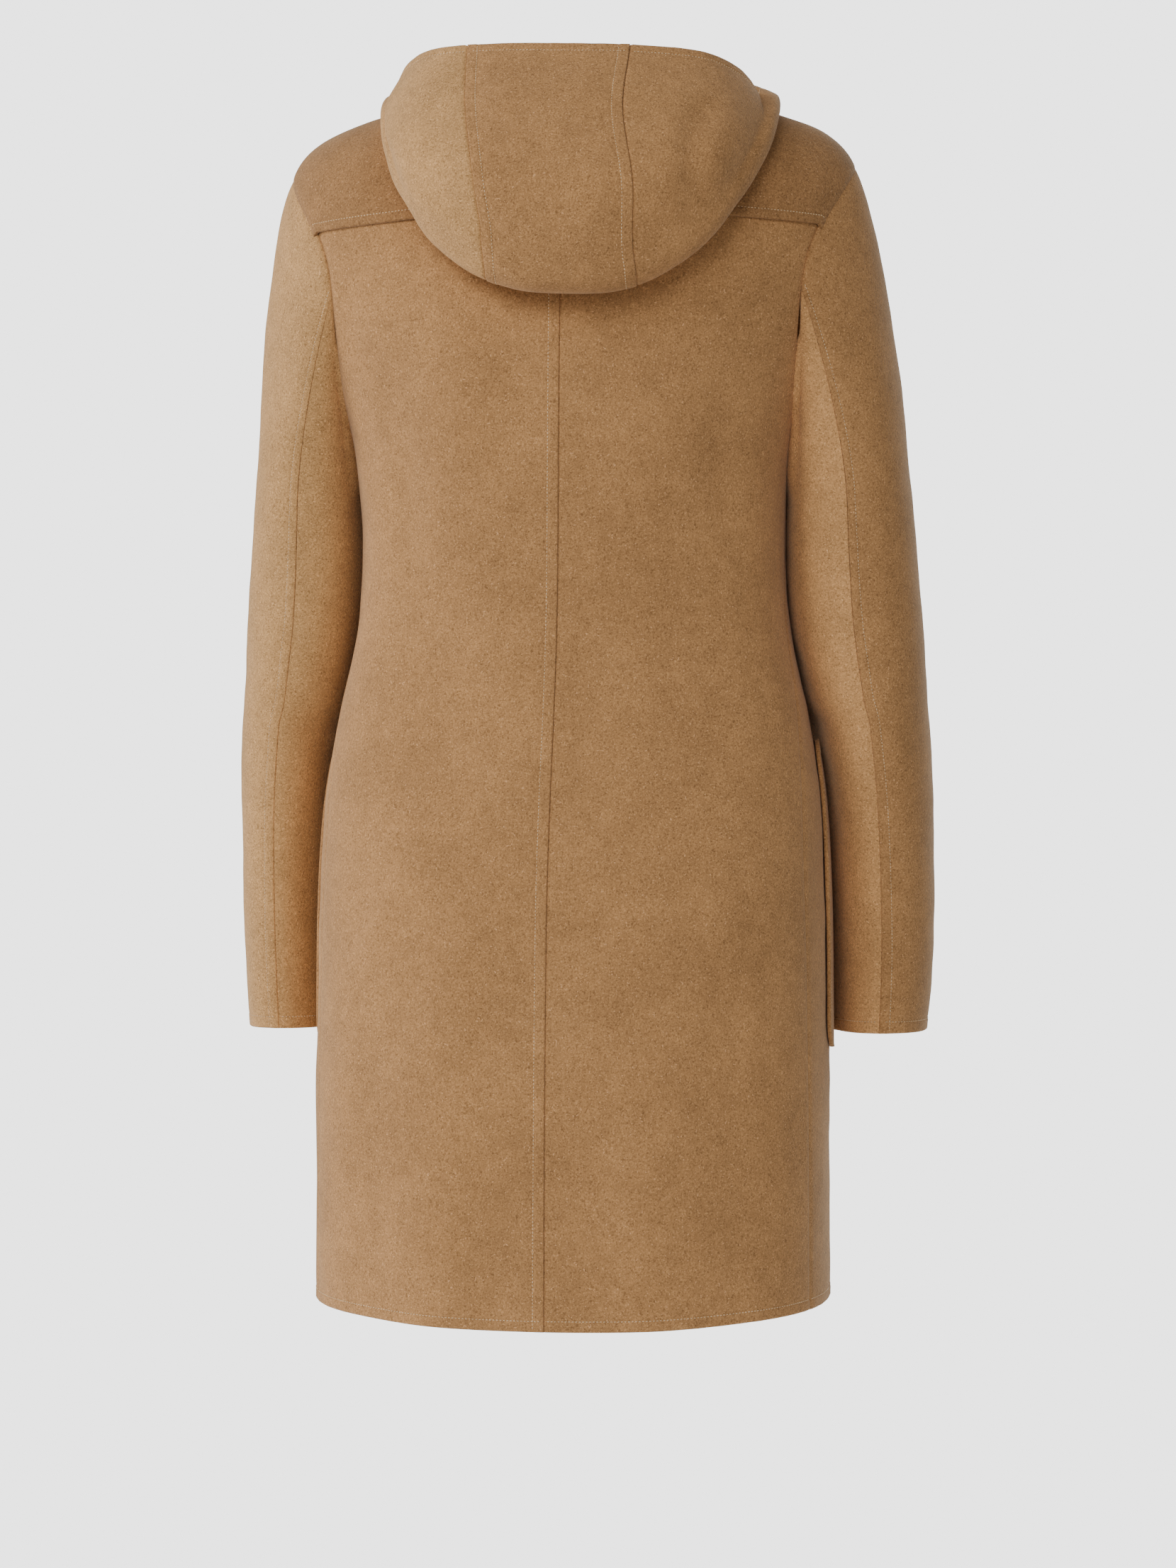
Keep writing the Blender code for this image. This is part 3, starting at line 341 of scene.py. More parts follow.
def yoke_table():
    """The ring of the yoke's edge across one half, found once."""
    shares = np.linspace(0.0, 1.0, 65)
    corner = lerp(math.pi / 2, float(back_edge(np.float64(YOKE_CORNER_T))), shares)
    rings = ring_t(corner, yoke_edge_z(corner))
    rings[-1] = YOKE_CORNER_T
    return lambda share: np.interp(share, shares, rings)


YOKE_T = yoke_table()


def front_lift(side, angle, t):
    across = np.where(np.sin(angle) < 0.0, body_base(angle, t)[..., 0], -1.0)
    lift = FRONT_LAP * smooth((across + FRONT_OVERLAP + FRONT_LIFT_REACH) / FRONT_LIFT_RUN)
    return np.where(np.asarray(side) > 0, 0.0, lift)


def centre_front(t):
    return -math.pi / 2 - np.arctan2(FRONT_OVERLAP, -ring("y_front", t))


def front_angle(t, share):
    outer_angle = front_edge(t) - half_gap(t, front_edge(t))
    return lerp(outer_angle, centre_front(t), share)


# ---------------- sleeve surface

def side_reach(y, z):
    t = ring_t(0.0, z)
    depth = np.where(y >= 0.0, ring("y_back", t), -ring("y_front", t))
    square = ring("square", t)
    inside = np.maximum(0.0, 1.0 - (np.abs(y) / depth) ** square)
    pocket = (POCKET_LAP + POCKET_GAPE) * smooth((POCKET_TOP_Z + 0.030 - z) / 0.020)
    return ring("half_width", t) * inside ** (1.0 / square) + pocket


def armhole_place(turn):
    t = armhole_t(turn)
    return np.where(turn >= 0.0, back_edge(t), front_edge(t)), t


def sleeve_section(side, turn, z):
    z_list = -SLEEVE_RINGS[:, 0]
    turn, z = np.broadcast_arrays(np.asarray(turn, float), np.asarray(z, float))
    ticks = np.linspace(0.0, len(z_list) - 1.0, SLEEVE_TICKS)
    position = np.interp(-z, cubic(z_list, ticks), ticks)
    outer = cubic(SLEEVE_RINGS[:, 1 if side > 0 else 2], position)
    c = np.copysign(np.abs(np.cos(turn)) ** (2.0 / SLEEVE_SQUARE), np.cos(turn))
    s = np.copysign(np.abs(np.sin(turn)) ** (2.0 / SLEEVE_SQUARE), np.sin(turn))
    y = cubic(SLEEVE_RINGS[:, 3], position) + cubic(SLEEVE_RINGS[:, 4], position) * s
    press = SLEEVE_PRESS * smooth((z - SLEEVE_PRESS_Z) / SLEEVE_PRESS_RUN)
    inner = side_reach(y, z) + SLEEVE_CLEARANCE - press
    middle = 0.5 * (side_reach(np.zeros_like(y), z) + outer)
    x = middle + np.where(c > 0.0, outer - middle, middle - inner) * c
    return np.stack([x, y, z], axis=-1)


def sleeve_point(side, turn, s):
    """s 0 to 1 is the head, armhole to armpit level; 1 to 2 runs down to the cuff."""
    top_z = SLEEVE_RINGS[0, 0]
    turn, s = np.broadcast_arrays(np.asarray(turn, float), np.asarray(s, float))
    lower = sleeve_section(side, turn, lerp(top_z, SLEEVE_CUFF_Z, np.maximum(0.0, s - 1.0)))
    high = 0.5 + 0.5 * np.cos(turn)
    angle, t = armhole_place(turn)
    start = body_point(angle, t, SLEEVE_PUFF * smooth(high * 1.6))
    down = np.full(turn.shape, -0.90)
    way = unit(np.stack([0.10 + 0.38 * high, -0.05 * np.sin(turn), down], -1))
    start = start + np.array((HEAD_OUT, 0.0, 0.0)) + way * HEAD_OFF
    end = sleeve_section(side, turn, top_z)
    below = sleeve_section(side, turn, top_z - 0.010)
    reach = np.linalg.norm(end - start, axis=-1, keepdims=True)
    p1 = start + way * (reach * HEAD_START_PULL)
    p2 = end + unit(end - below) * (reach * HEAD_END_PULL)
    head = bezier(start, p1, p2, end, spread(np.minimum(1.0, s)))
    lying = side_reach(head[..., 1], head[..., 2]) + SLEEVE_CLEARANCE - SLEEVE_PRESS
    narrow = lerp(*HEAD_PRESSED_FROM, smooth(s / 0.30))
    pressed = smooth((-np.cos(turn) - narrow) / 0.22) * smooth((1.0 - s) / 0.35)
    head[..., 0] = lerp(head[..., 0], np.minimum(head[..., 0], lying), pressed)
    return np.where(spread(s >= 1.0), lower, head)


# ---------------- hood surface

def hood_way(neck_angle, roll_angle, roll_t, share, lift, raised):
    angle = lerp(neck_angle, roll_angle, share)
    t = lerp(T_NECK, roll_t, share)
    return body_point(angle, t, lift + raised(angle, t))


def hood_section(k, side):
    neck_deg, roll_deg, roll_z, roll, slip = HOOD_ROLLS[k]
    neck_angle = math.radians(neck_deg)
    roll_angle = math.radians(roll_deg)
    roll_t = float(ring_t(roll_angle, roll_z))
    roll_t += side * slip * HOOD_SLIP_T * math.cos(roll_angle)
    roll_angle += side * slip * HOOD_SLIP_TURN * math.sin(roll_angle)
    if k < len(HOOD_FACE):
        shift = np.array((-side * slip * HOOD_SLIP * HOOD_FACE_SLIP, 0.0, 0.0))
        full = np.array(HOOD_FACE[k][0:3])
        rim = np.array(HOOD_FACE[k][3:6])
        full[2] += side * HOOD_TILT * full[0]
        rim[2] += side * HOOD_TILT * rim[0]
        out = unit(np.array((full[0], full[1], 0.0)))
        upper = 0.5 * (rim + full) + out * (HOOD_BULGE * np.linalg.norm(rim - full))
        face = [full + shift, upper + shift, rim + shift]
    else:
        rim_share = HOOD_RIM_SHARES[k - len(HOOD_FACE)]
        face = []
        for step in (1, 2, 3):
            lift = HOOD_UNDER + 2.0 * roll + HOOD_RIM_LIFT * step / 3
            share = lerp(1.0, rim_share, step / 3)
            face.append(hood_way(neck_angle, roll_angle, roll_t, share, lift,
                                 lambda a, t: front_lift(side, mirrored(a, side), t)))
    row = [side * (neck_angle - math.pi / 2), side * (roll_angle - math.pi / 2), roll_t, roll]
    for p in face:
        row += [side * p[0], p[1], p[2]]
    return row


HOOD_TABLE = np.array([hood_section(k, -1) for k in range(HOOD_LAST, 0, -1)]
                      + [hood_section(k, 1) for k in range(HOOD_LAST + 1)])


def paced(points, start_way, u):
    """A smooth curve through points, run at a steady pace and set off along start_way."""
    gaps = [np.linalg.norm(b - a, axis=-1, keepdims=True) for a, b in zip(points, points[1:])]
    slopes = [start_way]
    for k in range(1, len(points) - 1):
        before, after = gaps[k - 1], gaps[k]
        ahead = (points[k + 1] - points[k]) * (before / after)
        behind = (points[k] - points[k - 1]) * (after / before)
        slopes.append((ahead + behind) / (before + after))
    slopes.append((points[-1] - points[-2]) / gaps[-1])
    walk = spread(u) * sum(gaps)
    made = None
    done = 0.0
    for k, gap in enumerate(gaps):
        f = np.clip((walk - done) / gap, 0.0, 1.0)
        piece = (points[k] + (points[k + 1] - points[k]) * (3 * f ** 2 - 2 * f ** 3)
                 + slopes[k] * (gap * (f ** 3 - 2 * f ** 2 + f))
                 + slopes[k + 1] * (gap * (f ** 3 - f ** 2)))
        made = piece if made is None else np.where(walk > done, piece, made)
        done = done + gap
    return made


def hood_point(station, r):
    """r from 0 to 4 runs over the stand, the under layer, the roll and the face."""
    station, r = np.broadcast_arrays(np.asarray(station, float), np.asarray(r, float))
    cols = cubic(HOOD_TABLE, station + HOOD_LAST)
    neck = cols[..., 0] + math.pi / 2
    roll_at = cols[..., 1] + math.pi / 2
    roll_t, roll = cols[..., 2], spread(cols[..., 3])
    face = [cols[..., 4:7], cols[..., 7:10], cols[..., 10:13]]
    side = np.where(station < 0.0, -1, 1)

    def raised(a, t):
        return front_lift(side, a, t)

    def under(share):
        return hood_way(neck, roll_at, roll_t, share, HOOD_UNDER, raised)

    u = r - np.floor(np.minimum(r, 3.999))
    part = np.minimum(3, np.floor(r))
    laid = under(lerp(HOOD_STAND_SHARE, 1.0, u))
    neck_t = np.full(neck.shape, T_NECK)
    foot = body_point(neck, neck_t, raised(neck, neck_t))
    flat = foot * np.array((1.0, 1.0, 0.0))
    foot = foot + unit(flat) * HOOD_FOOT_OUT + np.array((0.0, 0.0, HOOD_FOOT_RISE))
    landing = under(HOOD_STAND_SHARE)
    ahead = unit(under(HOOD_STAND_SHARE + 0.02) - landing)
    top = foot + np.array((0.0, 0.0, HOOD_STAND))
    stand = bezier(foot, top, landing - ahead * 0.5 * HOOD_STAND, landing, spread(u))
    low = under(1.0)
    down = unit(low - under(0.96))
    out = body_normal(roll_at, roll_t)
    out = unit(out - down * np.sum(out * down, -1, keepdims=True))
    centre = low + out * roll
    to_full = face[0] - centre
    lean = np.arctan2(np.sum(to_full * out, -1, keepdims=True) - roll,
                      -np.sum(to_full * down, -1, keepdims=True))
    sweep = math.pi - np.maximum(0.0, lean)
    turn = sweep * spread(u)
    rolled = centre + (down * np.sin(turn) - out * np.cos(turn)) * roll
    end = centre + (down * np.sin(sweep) - out * np.cos(sweep)) * roll
    faced = paced([end] + face, down * np.cos(sweep) + out * np.sin(sweep), u)
    made = np.where(spread(part == 0), stand, laid)
    made = np.where(spread(part == 2), rolled, made)
    return np.where(spread(part == 3), faced, made)


# ---------------- panels of cloth

ROUND = 0.00145        # the rounding of a free cloth edge
SEWN_ROUND = 0.00075   # and of one in a seam
SEAM_REACH = 0.00022   # how far an edge goes into its seam
ARMHOLE_REACH = 0.0036  # the same for a sleeve, which meets the body at an angle
WORKED = (0.0, 0.00012, 0.0004, 0.00085, 0.0015, 0.0024, 0.0036, 0.0050,
          0.0062, 0.0070, 0.0078, 0.0086, 0.0096, 0.0115, 0.0145, 0.0185)
STITCH_IN = 0.0078     # the topstitching's distance from its edge
POCKET_STITCH_IN = 0.0055
POCKET_TOP_STITCH_IN = 0.0240
CUFF_STITCH_IN = 0.0090
SEAM_LINE = (0.0024, 0.0007)        # width and depth of a plain seam's dip
HOOD_SEAM_LINE = (0.0024, 0.0009)
SEAM_EASE = 0.0060     # the cloth is drawn to its seam over this width
SEAM_ROWS = 9          # which is within this many rows
COARSE_COLUMNS, COARSE_ROWS, DENSE_COLUMNS = 33, 241, 97   # to measure a surface
STEP = 0.0050


def noise(p, size, seed):
    """Smooth unevenness from a few crossed waves, between about -1 and 1."""
    rng = np.random.default_rng(seed)
    total = 0.0
    for _ in range(7):
        way = unit(rng.normal(size=3)) / (size * rng.uniform(0.7, 1.6))
        total = total + np.sin(p @ way * TAU + rng.uniform(0.0, TAU))
    return total / 3.2


def walked(points, axis):
    gaps = np.linalg.norm(np.diff(points, axis=axis), axis=-1)
    total = np.cumsum(gaps, axis=axis)
    zero = np.zeros_like(np.take(total, [0], axis=axis))
    return np.concatenate([zero, total], axis=axis)


def stops(length, count):
    """Distances along a run: close together at both ends, even between."""
    edge = np.array(WORKED)
    reach = min(1.0, 0.45 * length / edge[-1])
    edge = edge * reach
    middle = np.linspace(edge[-1], length - edge[-1], count + 2)[1:-1]
    return np.concatenate([edge, middle, length - edge[::-1]])


class Panel:
    """A cloth panel: points on its right side, with each one's distance from the edges."""

    def __init__(self, surface, r_range, outward=1.0, sewn=(), low_reach=SEAM_REACH):
        r0, r1 = r_range
        coarse_c = np.linspace(0.0, 1.0, COARSE_COLUMNS)
        coarse_r = np.linspace(r0, r1, COARSE_ROWS)
        p = surface(coarse_r[:, None], coarse_c[None, :])
        along = walked(p, 0)
        rows = max(3, round(along[-1].max() / STEP))
        r_of = np.stack([np.interp(stops(line[-1], rows), line, coarse_r) for line in along.T], 1)
        dense_c = np.linspace(0.0, 1.0, DENSE_COLUMNS)
        r_dense = np.stack([np.interp(dense_c, coarse_c, line) for line in r_of])
        p = surface(r_dense, np.broadcast_to(dense_c, r_dense.shape))
        across = walked(p, 1)
        columns = max(3, round(across[:, -1].max() / STEP))
        c_grid = np.stack([np.interp(stops(line[-1], columns), line, dense_c)
                           for line in across])
        r_grid = np.stack([np.interp(c, dense_c, line) for c, line in zip(c_grid, r_dense)])
        p = surface(r_grid, c_grid)
        self.p = worn(p)
        self.r, self.c = r_grid, c_grid
        self.close_seams(low_reach)
        across = walked(self.p, 1)
        along = walked(self.p, 0)
        self.left, self.right = across, across[:, -1:] - across
        self.low, self.high = along, along[-1:] - along
        dr = np.gradient(self.p, axis=0)
        dc = np.gradient(self.p, axis=1)
        self.n = unit(np.cross(dr, dc)) * outward
        self.flip = outward < 0.0
        self.rise = np.zeros(p.shape[:2])
        self.sewn = sewn

    def close_seams(self, low_reach):
        """Each edge reaches into its seam, so that no light passes between sewn pieces."""
        by_row, by_column = self.p, np.moveaxis(self.p, 1, 0)
        reaches = (low_reach, SEAM_REACH, SEAM_REACH, SEAM_REACH)
        for lines, reach in zip((by_row, by_row[::-1], by_column, by_column[::-1]), reaches):
            away = unit(lines[0] - lines[5])
            d = walked(lines, 0)[:SEAM_ROWS]
            lines[:SEAM_ROWS] += away * spread(reach * np.clip(1.0 - d / SEAM_EASE, 0.0, 1.0))

    def edge(self, name):
        return getattr(self, name)

    def area(self):
        a = self.p[1:, 1:] - self.p[:-1, :-1]
        b = self.p[1:, :-1] - self.p[:-1, 1:]
        return 0.5 * np.linalg.norm(np.cross(a, b), axis=-1).sum()

    def topstitched(self, name, inset=STITCH_IN, height=0.00045, groove=0.00050):
        """A worked edge: the doubled cloth stands up to the stitches, which sink in."""
        d = self.edge(name)
        wave = 0.75 + 0.25 * noise(self.p, 0.016, 5) + 0.12 * noise(self.p, 0.007, 6)
        band = smooth((inset + 0.0012 - d) / 0.0022)
        self.rise += height * band * wave
        self.rise -= groove * np.exp(-((d - inset) / 0.0009) ** 2) * wave
        return self

    def pressed(self, name, width=0.0050, depth=0.0006):
        """A plain seam: the cloth dips softly to the seam line."""
        d = self.edge(name)
        self.rise -= depth * (1.0 - smooth(d / width))
        return self

    def folded(self, folds):
        """Soft ridges and troughs along short lines, seen square to the x-z plane."""
        x, z = self.p[..., 0], self.p[..., 2]
        for x0, z0, x1, z1, half_width, height in folds:
            run = np.hypot(x1 - x0, z1 - z0)
            way = ((x1 - x0) / run, (z1 - z0) / run)
            along = (x - x0) * way[0] + (z - z0) * way[1]
            off = (x - x0) * way[1] - (z - z0) * way[0] + 0.004 * np.sin(along / run * 4.0)
            past = np.maximum(0.0, np.abs(along - 0.5 * run) - 0.3 * run) / (0.35 * run)
            self.rise += height * np.exp(-(off / half_width) ** 2 - past ** 2)
        return self

    def uneven(self, seed, depth=0.0005):
        near = np.minimum(np.minimum(self.left, self.right), np.minimum(self.low, self.high))
        quiet = smooth(near / 0.02)
        wave = noise(self.p, 0.075, seed) + 0.35 * noise(self.p, 0.030, seed + 1)
        self.rise += depth * quiet * wave
        return self

    def finish(self, name, look):
        rounded = np.zeros(self.p.shape[:2])
        for edge in ("left", "right", "low", "high"):
            radius = SEWN_ROUND if edge in self.sewn else ROUND
            inside = np.clip(radius - self.edge(edge), 0.0, radius)
            drop = radius - np.sqrt(np.maximum(0.0, radius ** 2 - inside ** 2))
            rounded = np.maximum(rounded, drop)
        self.outer = self.p + self.n * spread(self.rise - rounded)
        inner = self.p + self.n * spread(0.6 * self.rise - CLOTH + rounded)
        rows, cols = rounded.shape
        count = rows * cols
        verts = np.concatenate([self.outer.reshape(-1, 3), inner.reshape(-1, 3)])
        k = np.arange(count).reshape(rows, cols)
        a, b, c, d = k[:-1, :-1], k[:-1, 1:], k[1:, 1:], k[1:, :-1]
        up = np.stack([a, d, c, b], -1).reshape(-1, 4)
        down = np.stack([a, b, c, d], -1).reshape(-1, 4) + count
        loop = np.concatenate([k[0, :-1], k[:-1, -1], k[-1, :0:-1], k[:0:-1, 0]])
        after = np.roll(loop, -1)
        rim = np.stack([loop, after, after + count, loop + count], -1)
        faces = np.concatenate([up, down, rim])
        if self.flip:
            faces = faces[:, ::-1]
        return mesh_piece(name, verts, faces, look)


def mesh_piece(name, verts, faces, look):
    mesh = bpy.data.meshes.new(name)
    mesh.vertices.add(len(verts))
    mesh.vertices.foreach_set("co", np.asarray(verts, np.float32).ravel())
    faces = np.asarray(faces, np.int32)
    size = faces.shape[1]
    mesh.loops.add(faces.size)
    mesh.loops.foreach_set("vertex_index", faces.ravel())
    mesh.polygons.add(len(faces))
    mesh.polygons.foreach_set("loop_start", np.arange(0, faces.size, size, dtype=np.int32))
    mesh.polygons.foreach_set("loop_total", np.full(len(faces), size, np.int32))
    mesh.update(calc_edges=True)
    mesh.validate()
    mesh.shade_smooth()
    made = bpy.data.objects.new(name, mesh)
    made.data.materials.append(look)
    bpy.context.scene.collection.objects.link(made)
    return made


# ---------------- stitches

STITCH_PITCH = 0.0025
STITCH_LENGTH = 0.0019
STITCH_WIDTH = 0.00078
STITCH_SIDES = 6
STITCH_FREE = 0.004    # the line starts and ends this far from the panel's corners
STITCH_SUNK = 0.00028  # the ends of a stitch go into the cloth


def stitch_line(panel, name, inset):
    """Points, ways and normals of the stitches that run along one edge of a panel."""
    d = panel.edge(name)
    pts, nrm = panel.outer, panel.n
    if name in ("low", "high"):
        d, pts, nrm = d.T, pts.transpose(1, 0, 2), nrm.transpose(1, 0, 2)
    if name in ("right", "high"):
        d, pts, nrm = d[:, ::-1], pts[:, ::-1], nrm[:, ::-1]

    def read(table, way, where):
        return np.stack([np.interp(where, way, column) for column in table.T], -1)

    line = np.stack([read(row, away, inset) for away, row in zip(d, pts)])
    up = np.stack([read(row, away, inset) for away, row in zip(d, nrm)])
    way = walked(line, 0)
    at = np.arange(STITCH_FREE, way[-1] - STITCH_FREE, STITCH_PITCH)
    ahead = read(line, way, at + 0.001) - read(line, way, at - 0.001)
    return read(line, way, at), unit(ahead), unit(read(up, way, at))


def stitches(name, lines, look):
    """All the stitches of some lines as one mesh of small spindles."""
    mid = np.concatenate([line[0] for line in lines])
    way = np.concatenate([line[1] for line in lines])
    up = np.concatenate([line[2] for line in lines])
    across = unit(np.cross(up, way))
    rng = np.random.default_rng(11)
    lean = rng.uniform(-0.05, 0.12, (len(mid), 1))
    way = unit(way + across * lean)
    across = unit(np.cross(up, way))
    long = STITCH_LENGTH * rng.uniform(0.9, 1.08, (len(mid), 1))
    verts = [mid - way * long / 2 - up * STITCH_SUNK]
    n = STITCH_SIDES
    r = 0.5 * STITCH_WIDTH
    for share in (-0.30, 0.30):
        for i in range(n):
            a = TAU * i / n
            verts.append(mid + way * long * share + across * (r * math.cos(a))
                         + up * (r * math.sin(a) + 0.00005))
    verts.append(mid + way * long / 2 - up * STITCH_SUNK)
    verts = np.stack(verts, 1)
    each = verts.shape[1]
    faces = []
    for i in range(n):
        j = (i + 1) % n
        faces.append((0, 1 + j, 1 + i))
        faces.append((1 + i, 1 + j, 1 + n + j))
        faces.append((1 + i, 1 + n + j, 1 + n + i))
        faces.append((2 * n + 1, 1 + n + i, 1 + n + j))
    first = np.arange(len(mid))[:, None, None] * each
    all_faces = (np.array(faces)[None] + first).reshape(-1, 3)
    return mesh_piece(name, verts.reshape(-1, 3), all_faces, look)


# ---------------- materials

def new_material(name):
    made = bpy.data.materials.new(name)
    made.use_nodes = True
    tree = made.node_tree
    shader = tree.nodes["Principled BSDF"]
    return made, tree, shader


def node(tree, kind, **settings):
    made = tree.nodes.new(kind)
    for key, value in settings.items():
        setattr(made, key, value)
    return made


def noise_node(tree, coords, scale, detail=2.0, roughness=0.5, stretch=None, distortion=0.0):
    source = coords
    if stretch:
        mapping = node(tree, "ShaderNodeMapping")
        mapping.inputs["Scale"].default_value = stretch
        tree.links.new(coords, mapping.inputs["Vector"])
        source = mapping.outputs["Vector"]
    made = node(tree, "ShaderNodeTexNoise")
    made.inputs["Scale"].default_value = scale
    made.inputs["Detail"].default_value = detail
    made.inputs["Roughness"].default_value = roughness
    made.inputs["Distortion"].default_value = distortion
    tree.links.new(source, made.inputs["Vector"])
    return made.outputs["Fac"]


def ramp(tree, fac, marks):
    made = node(tree, "ShaderNodeValToRGB")
    made.color_ramp.interpolation = "EASE"
    points = made.color_ramp.elements
    while len(points) < len(marks):
        points.new(0.5)
    for point, (at, colour) in zip(points, marks):
        point.position = at
        point.color = (*colour, 1.0)
    tree.links.new(fac, made.inputs["Fac"])
    return made.outputs["Color"]


def mix(tree, kind, fac, a, b):
    made = node(tree, "ShaderNodeMix", data_type="RGBA", blend_type=kind)
    for name, value in (("Factor", fac), ("A", a), ("B", b)):
        socket = [s for s in made.inputs if s.name == name and s.enabled][0]
        if isinstance(value, bpy.types.NodeSocket):
            tree.links.new(value, socket)
        elif name == "Factor":
            socket.default_value = value
        else:
            socket.default_value = (*value, 1.0)
    return [s for s in made.outputs if s.enabled][0]


def bumped(tree, shader, *layers):
    """Stacks bump layers on the shader's normal: a height, a strength and a distance each."""
    normal = None
    for height, strength, distance in layers:
        made = node(tree, "ShaderNodeBump")
        made.inputs["Strength"].default_value = strength
        made.inputs["Distance"].default_value = distance
        tree.links.new(height, made.inputs["Height"])
        if normal is not None:
            tree.links.new(normal, made.inputs["Normal"])
        normal = made.outputs["Normal"]
    tree.links.new(normal, shader.inputs["Normal"])


CAMEL = (0.430, 0.226, 0.091)
WHITE = (1.0, 1.0, 1.0)
BLACK = (0.0, 0.0, 0.0)


def wool(name, painted_light_tone=WHITE):
    """Napped melton: blended fibres, small pale flecks, soft mottling and a low sheen."""
    made, tree, shader = new_material(name)
    coords = node(tree, "ShaderNodeTexCoord").outputs["Object"]
    # The tone multiplies the whole wool colour: above 1 it is painted light, below 1 painted
    # shade, for pieces the lamps light too little or too much.
    base = np.array(CAMEL) * np.array(painted_light_tone)

    def shade(k):
        return tuple(np.clip(base * np.array((k, k * 0.98, k * 0.95)), 0, 1))

    cloud = noise_node(tree, coords, 15.0, 3.0, 0.55)
    colour = ramp(tree, cloud, ((0.30, shade(0.91)), (0.70, shade(1.08))))
    patch = noise_node(tree, coords, 90.0, 2.0, 0.6)
    patch_tone = ramp(tree, patch, ((0.30, (0.94,) * 3), (0.70, (1.06,) * 3)))
    colour = mix(tree, "MULTIPLY", 1.0, colour, patch_tone)
    grain = noise_node(tree, coords, 760.0, 2.5, 0.65, distortion=0.6)
    grain_tone = ramp(tree, grain, ((0.30, (0.58, 0.56, 0.52)), (0.50, WHITE),
                                    (0.72, (1.40, 1.44, 1.48))))
    colour = mix(tree, "MULTIPLY", 1.0, colour, grain_tone)
    hair = noise_node(tree, coords, 330.0, 1.0, 0.5, distortion=2.2)
    hair_tone = ramp(tree, hair, ((0.46, WHITE), (0.50, (1.15, 1.17, 1.20)), (0.54, WHITE)))
    colour = mix(tree, "MULTIPLY", 1.0, colour, hair_tone)
    fleck = noise_node(tree, coords, 820.0, 0.0, 0.5)
    pale = ramp(tree, fleck, ((0.73, BLACK), (0.80, (0.8, 0.8, 0.8))))
    colour = mix(tree, "MIX", pale, colour, tuple(np.clip(base * 1.7 + 0.05, 0, 1)))
    tree.links.new(colour, shader.inputs["Base Color"])
    shader.inputs["Roughness"].default_value = 0.94
    shader.inputs["Specular IOR Level"].default_value = 0.18
    shader.inputs["Sheen Weight"].default_value = 0.28
    shader.inputs["Sheen Roughness"].default_value = 0.45
    shader.inputs["Sheen Tint"].default_value = (1.0, 0.86, 0.66, 1.0)
    felt = noise_node(tree, coords, 300.0, 2.0, 0.6, distortion=1.0)
    bumped(tree, shader, (felt, 0.55, 0.0008), (grain, 0.75, 0.0005))
    return made


def thread_look():
    made, tree, shader = new_material("thread")
    coords = node(tree, "ShaderNodeTexCoord").outputs["Object"]
    tint = noise_node(tree, coords, 90.0, 2.0)
    colour = ramp(tree, tint, ((0.3, (0.60, 0.39, 0.20)), (0.7, (0.78, 0.56, 0.32))))
    tree.links.new(colour, shader.inputs["Base Color"])
    shader.inputs["Roughness"].default_value = 0.6
    bumped(tree, shader, (noise_node(tree, coords, 2600.0, 1.0), 0.4, 0.0002))
    return made


def leather_look():
    made, tree, shader = new_material("brown_leather")
    coords = node(tree, "ShaderNodeTexCoord").outputs["Object"]
    cloud = noise_node(tree, coords, 70.0, 3.0, 0.6)
    base = np.array((0.085, 0.040, 0.020))
    tint = ramp(tree, cloud, ((0.3, tuple(base * 0.75)), (0.7, tuple(base * 1.3))))
    tree.links.new(tint, shader.inputs["Base Color"])
    grain = node(tree, "ShaderNodeTexVoronoi")
    grain.inputs["Scale"].default_value = 900.0
    tree.links.new(coords, grain.inputs["Vector"])
    rough = node(tree, "ShaderNodeMapRange")
    rough.inputs["To Min"].default_value = 0.42
    rough.inputs["To Max"].default_value = 0.62
    tree.links.new(cloud, rough.inputs["Value"])
    tree.links.new(rough.outputs["Result"], shader.inputs["Roughness"])
    bumped(tree, shader, (grain.outputs["Distance"], 0.5, 0.0003))
    return made


def wood_look():
    made, tree, shader = new_material("toggle_wood")
    coords = node(tree, "ShaderNodeTexCoord").outputs["Object"]
    grain = noise_node(tree, coords, 260.0, 4.0, 0.6, (0.06, 1.0, 1.0))
    colour = ramp(tree, grain, ((0.30, (0.085, 0.036, 0.014)), (0.55, (0.215, 0.105, 0.044)),
                                (0.75, (0.31, 0.17, 0.078))))
    tree.links.new(colour, shader.inputs["Base Color"])
    shader.inputs["Roughness"].default_value = 0.38
    shader.inputs["Coat Weight"].default_value = 0.25
    shader.inputs["Coat Roughness"].default_value = 0.25
    bumped(tree, shader, (grain, 0.25, 0.0003))
    return made


# ---------------- the coat

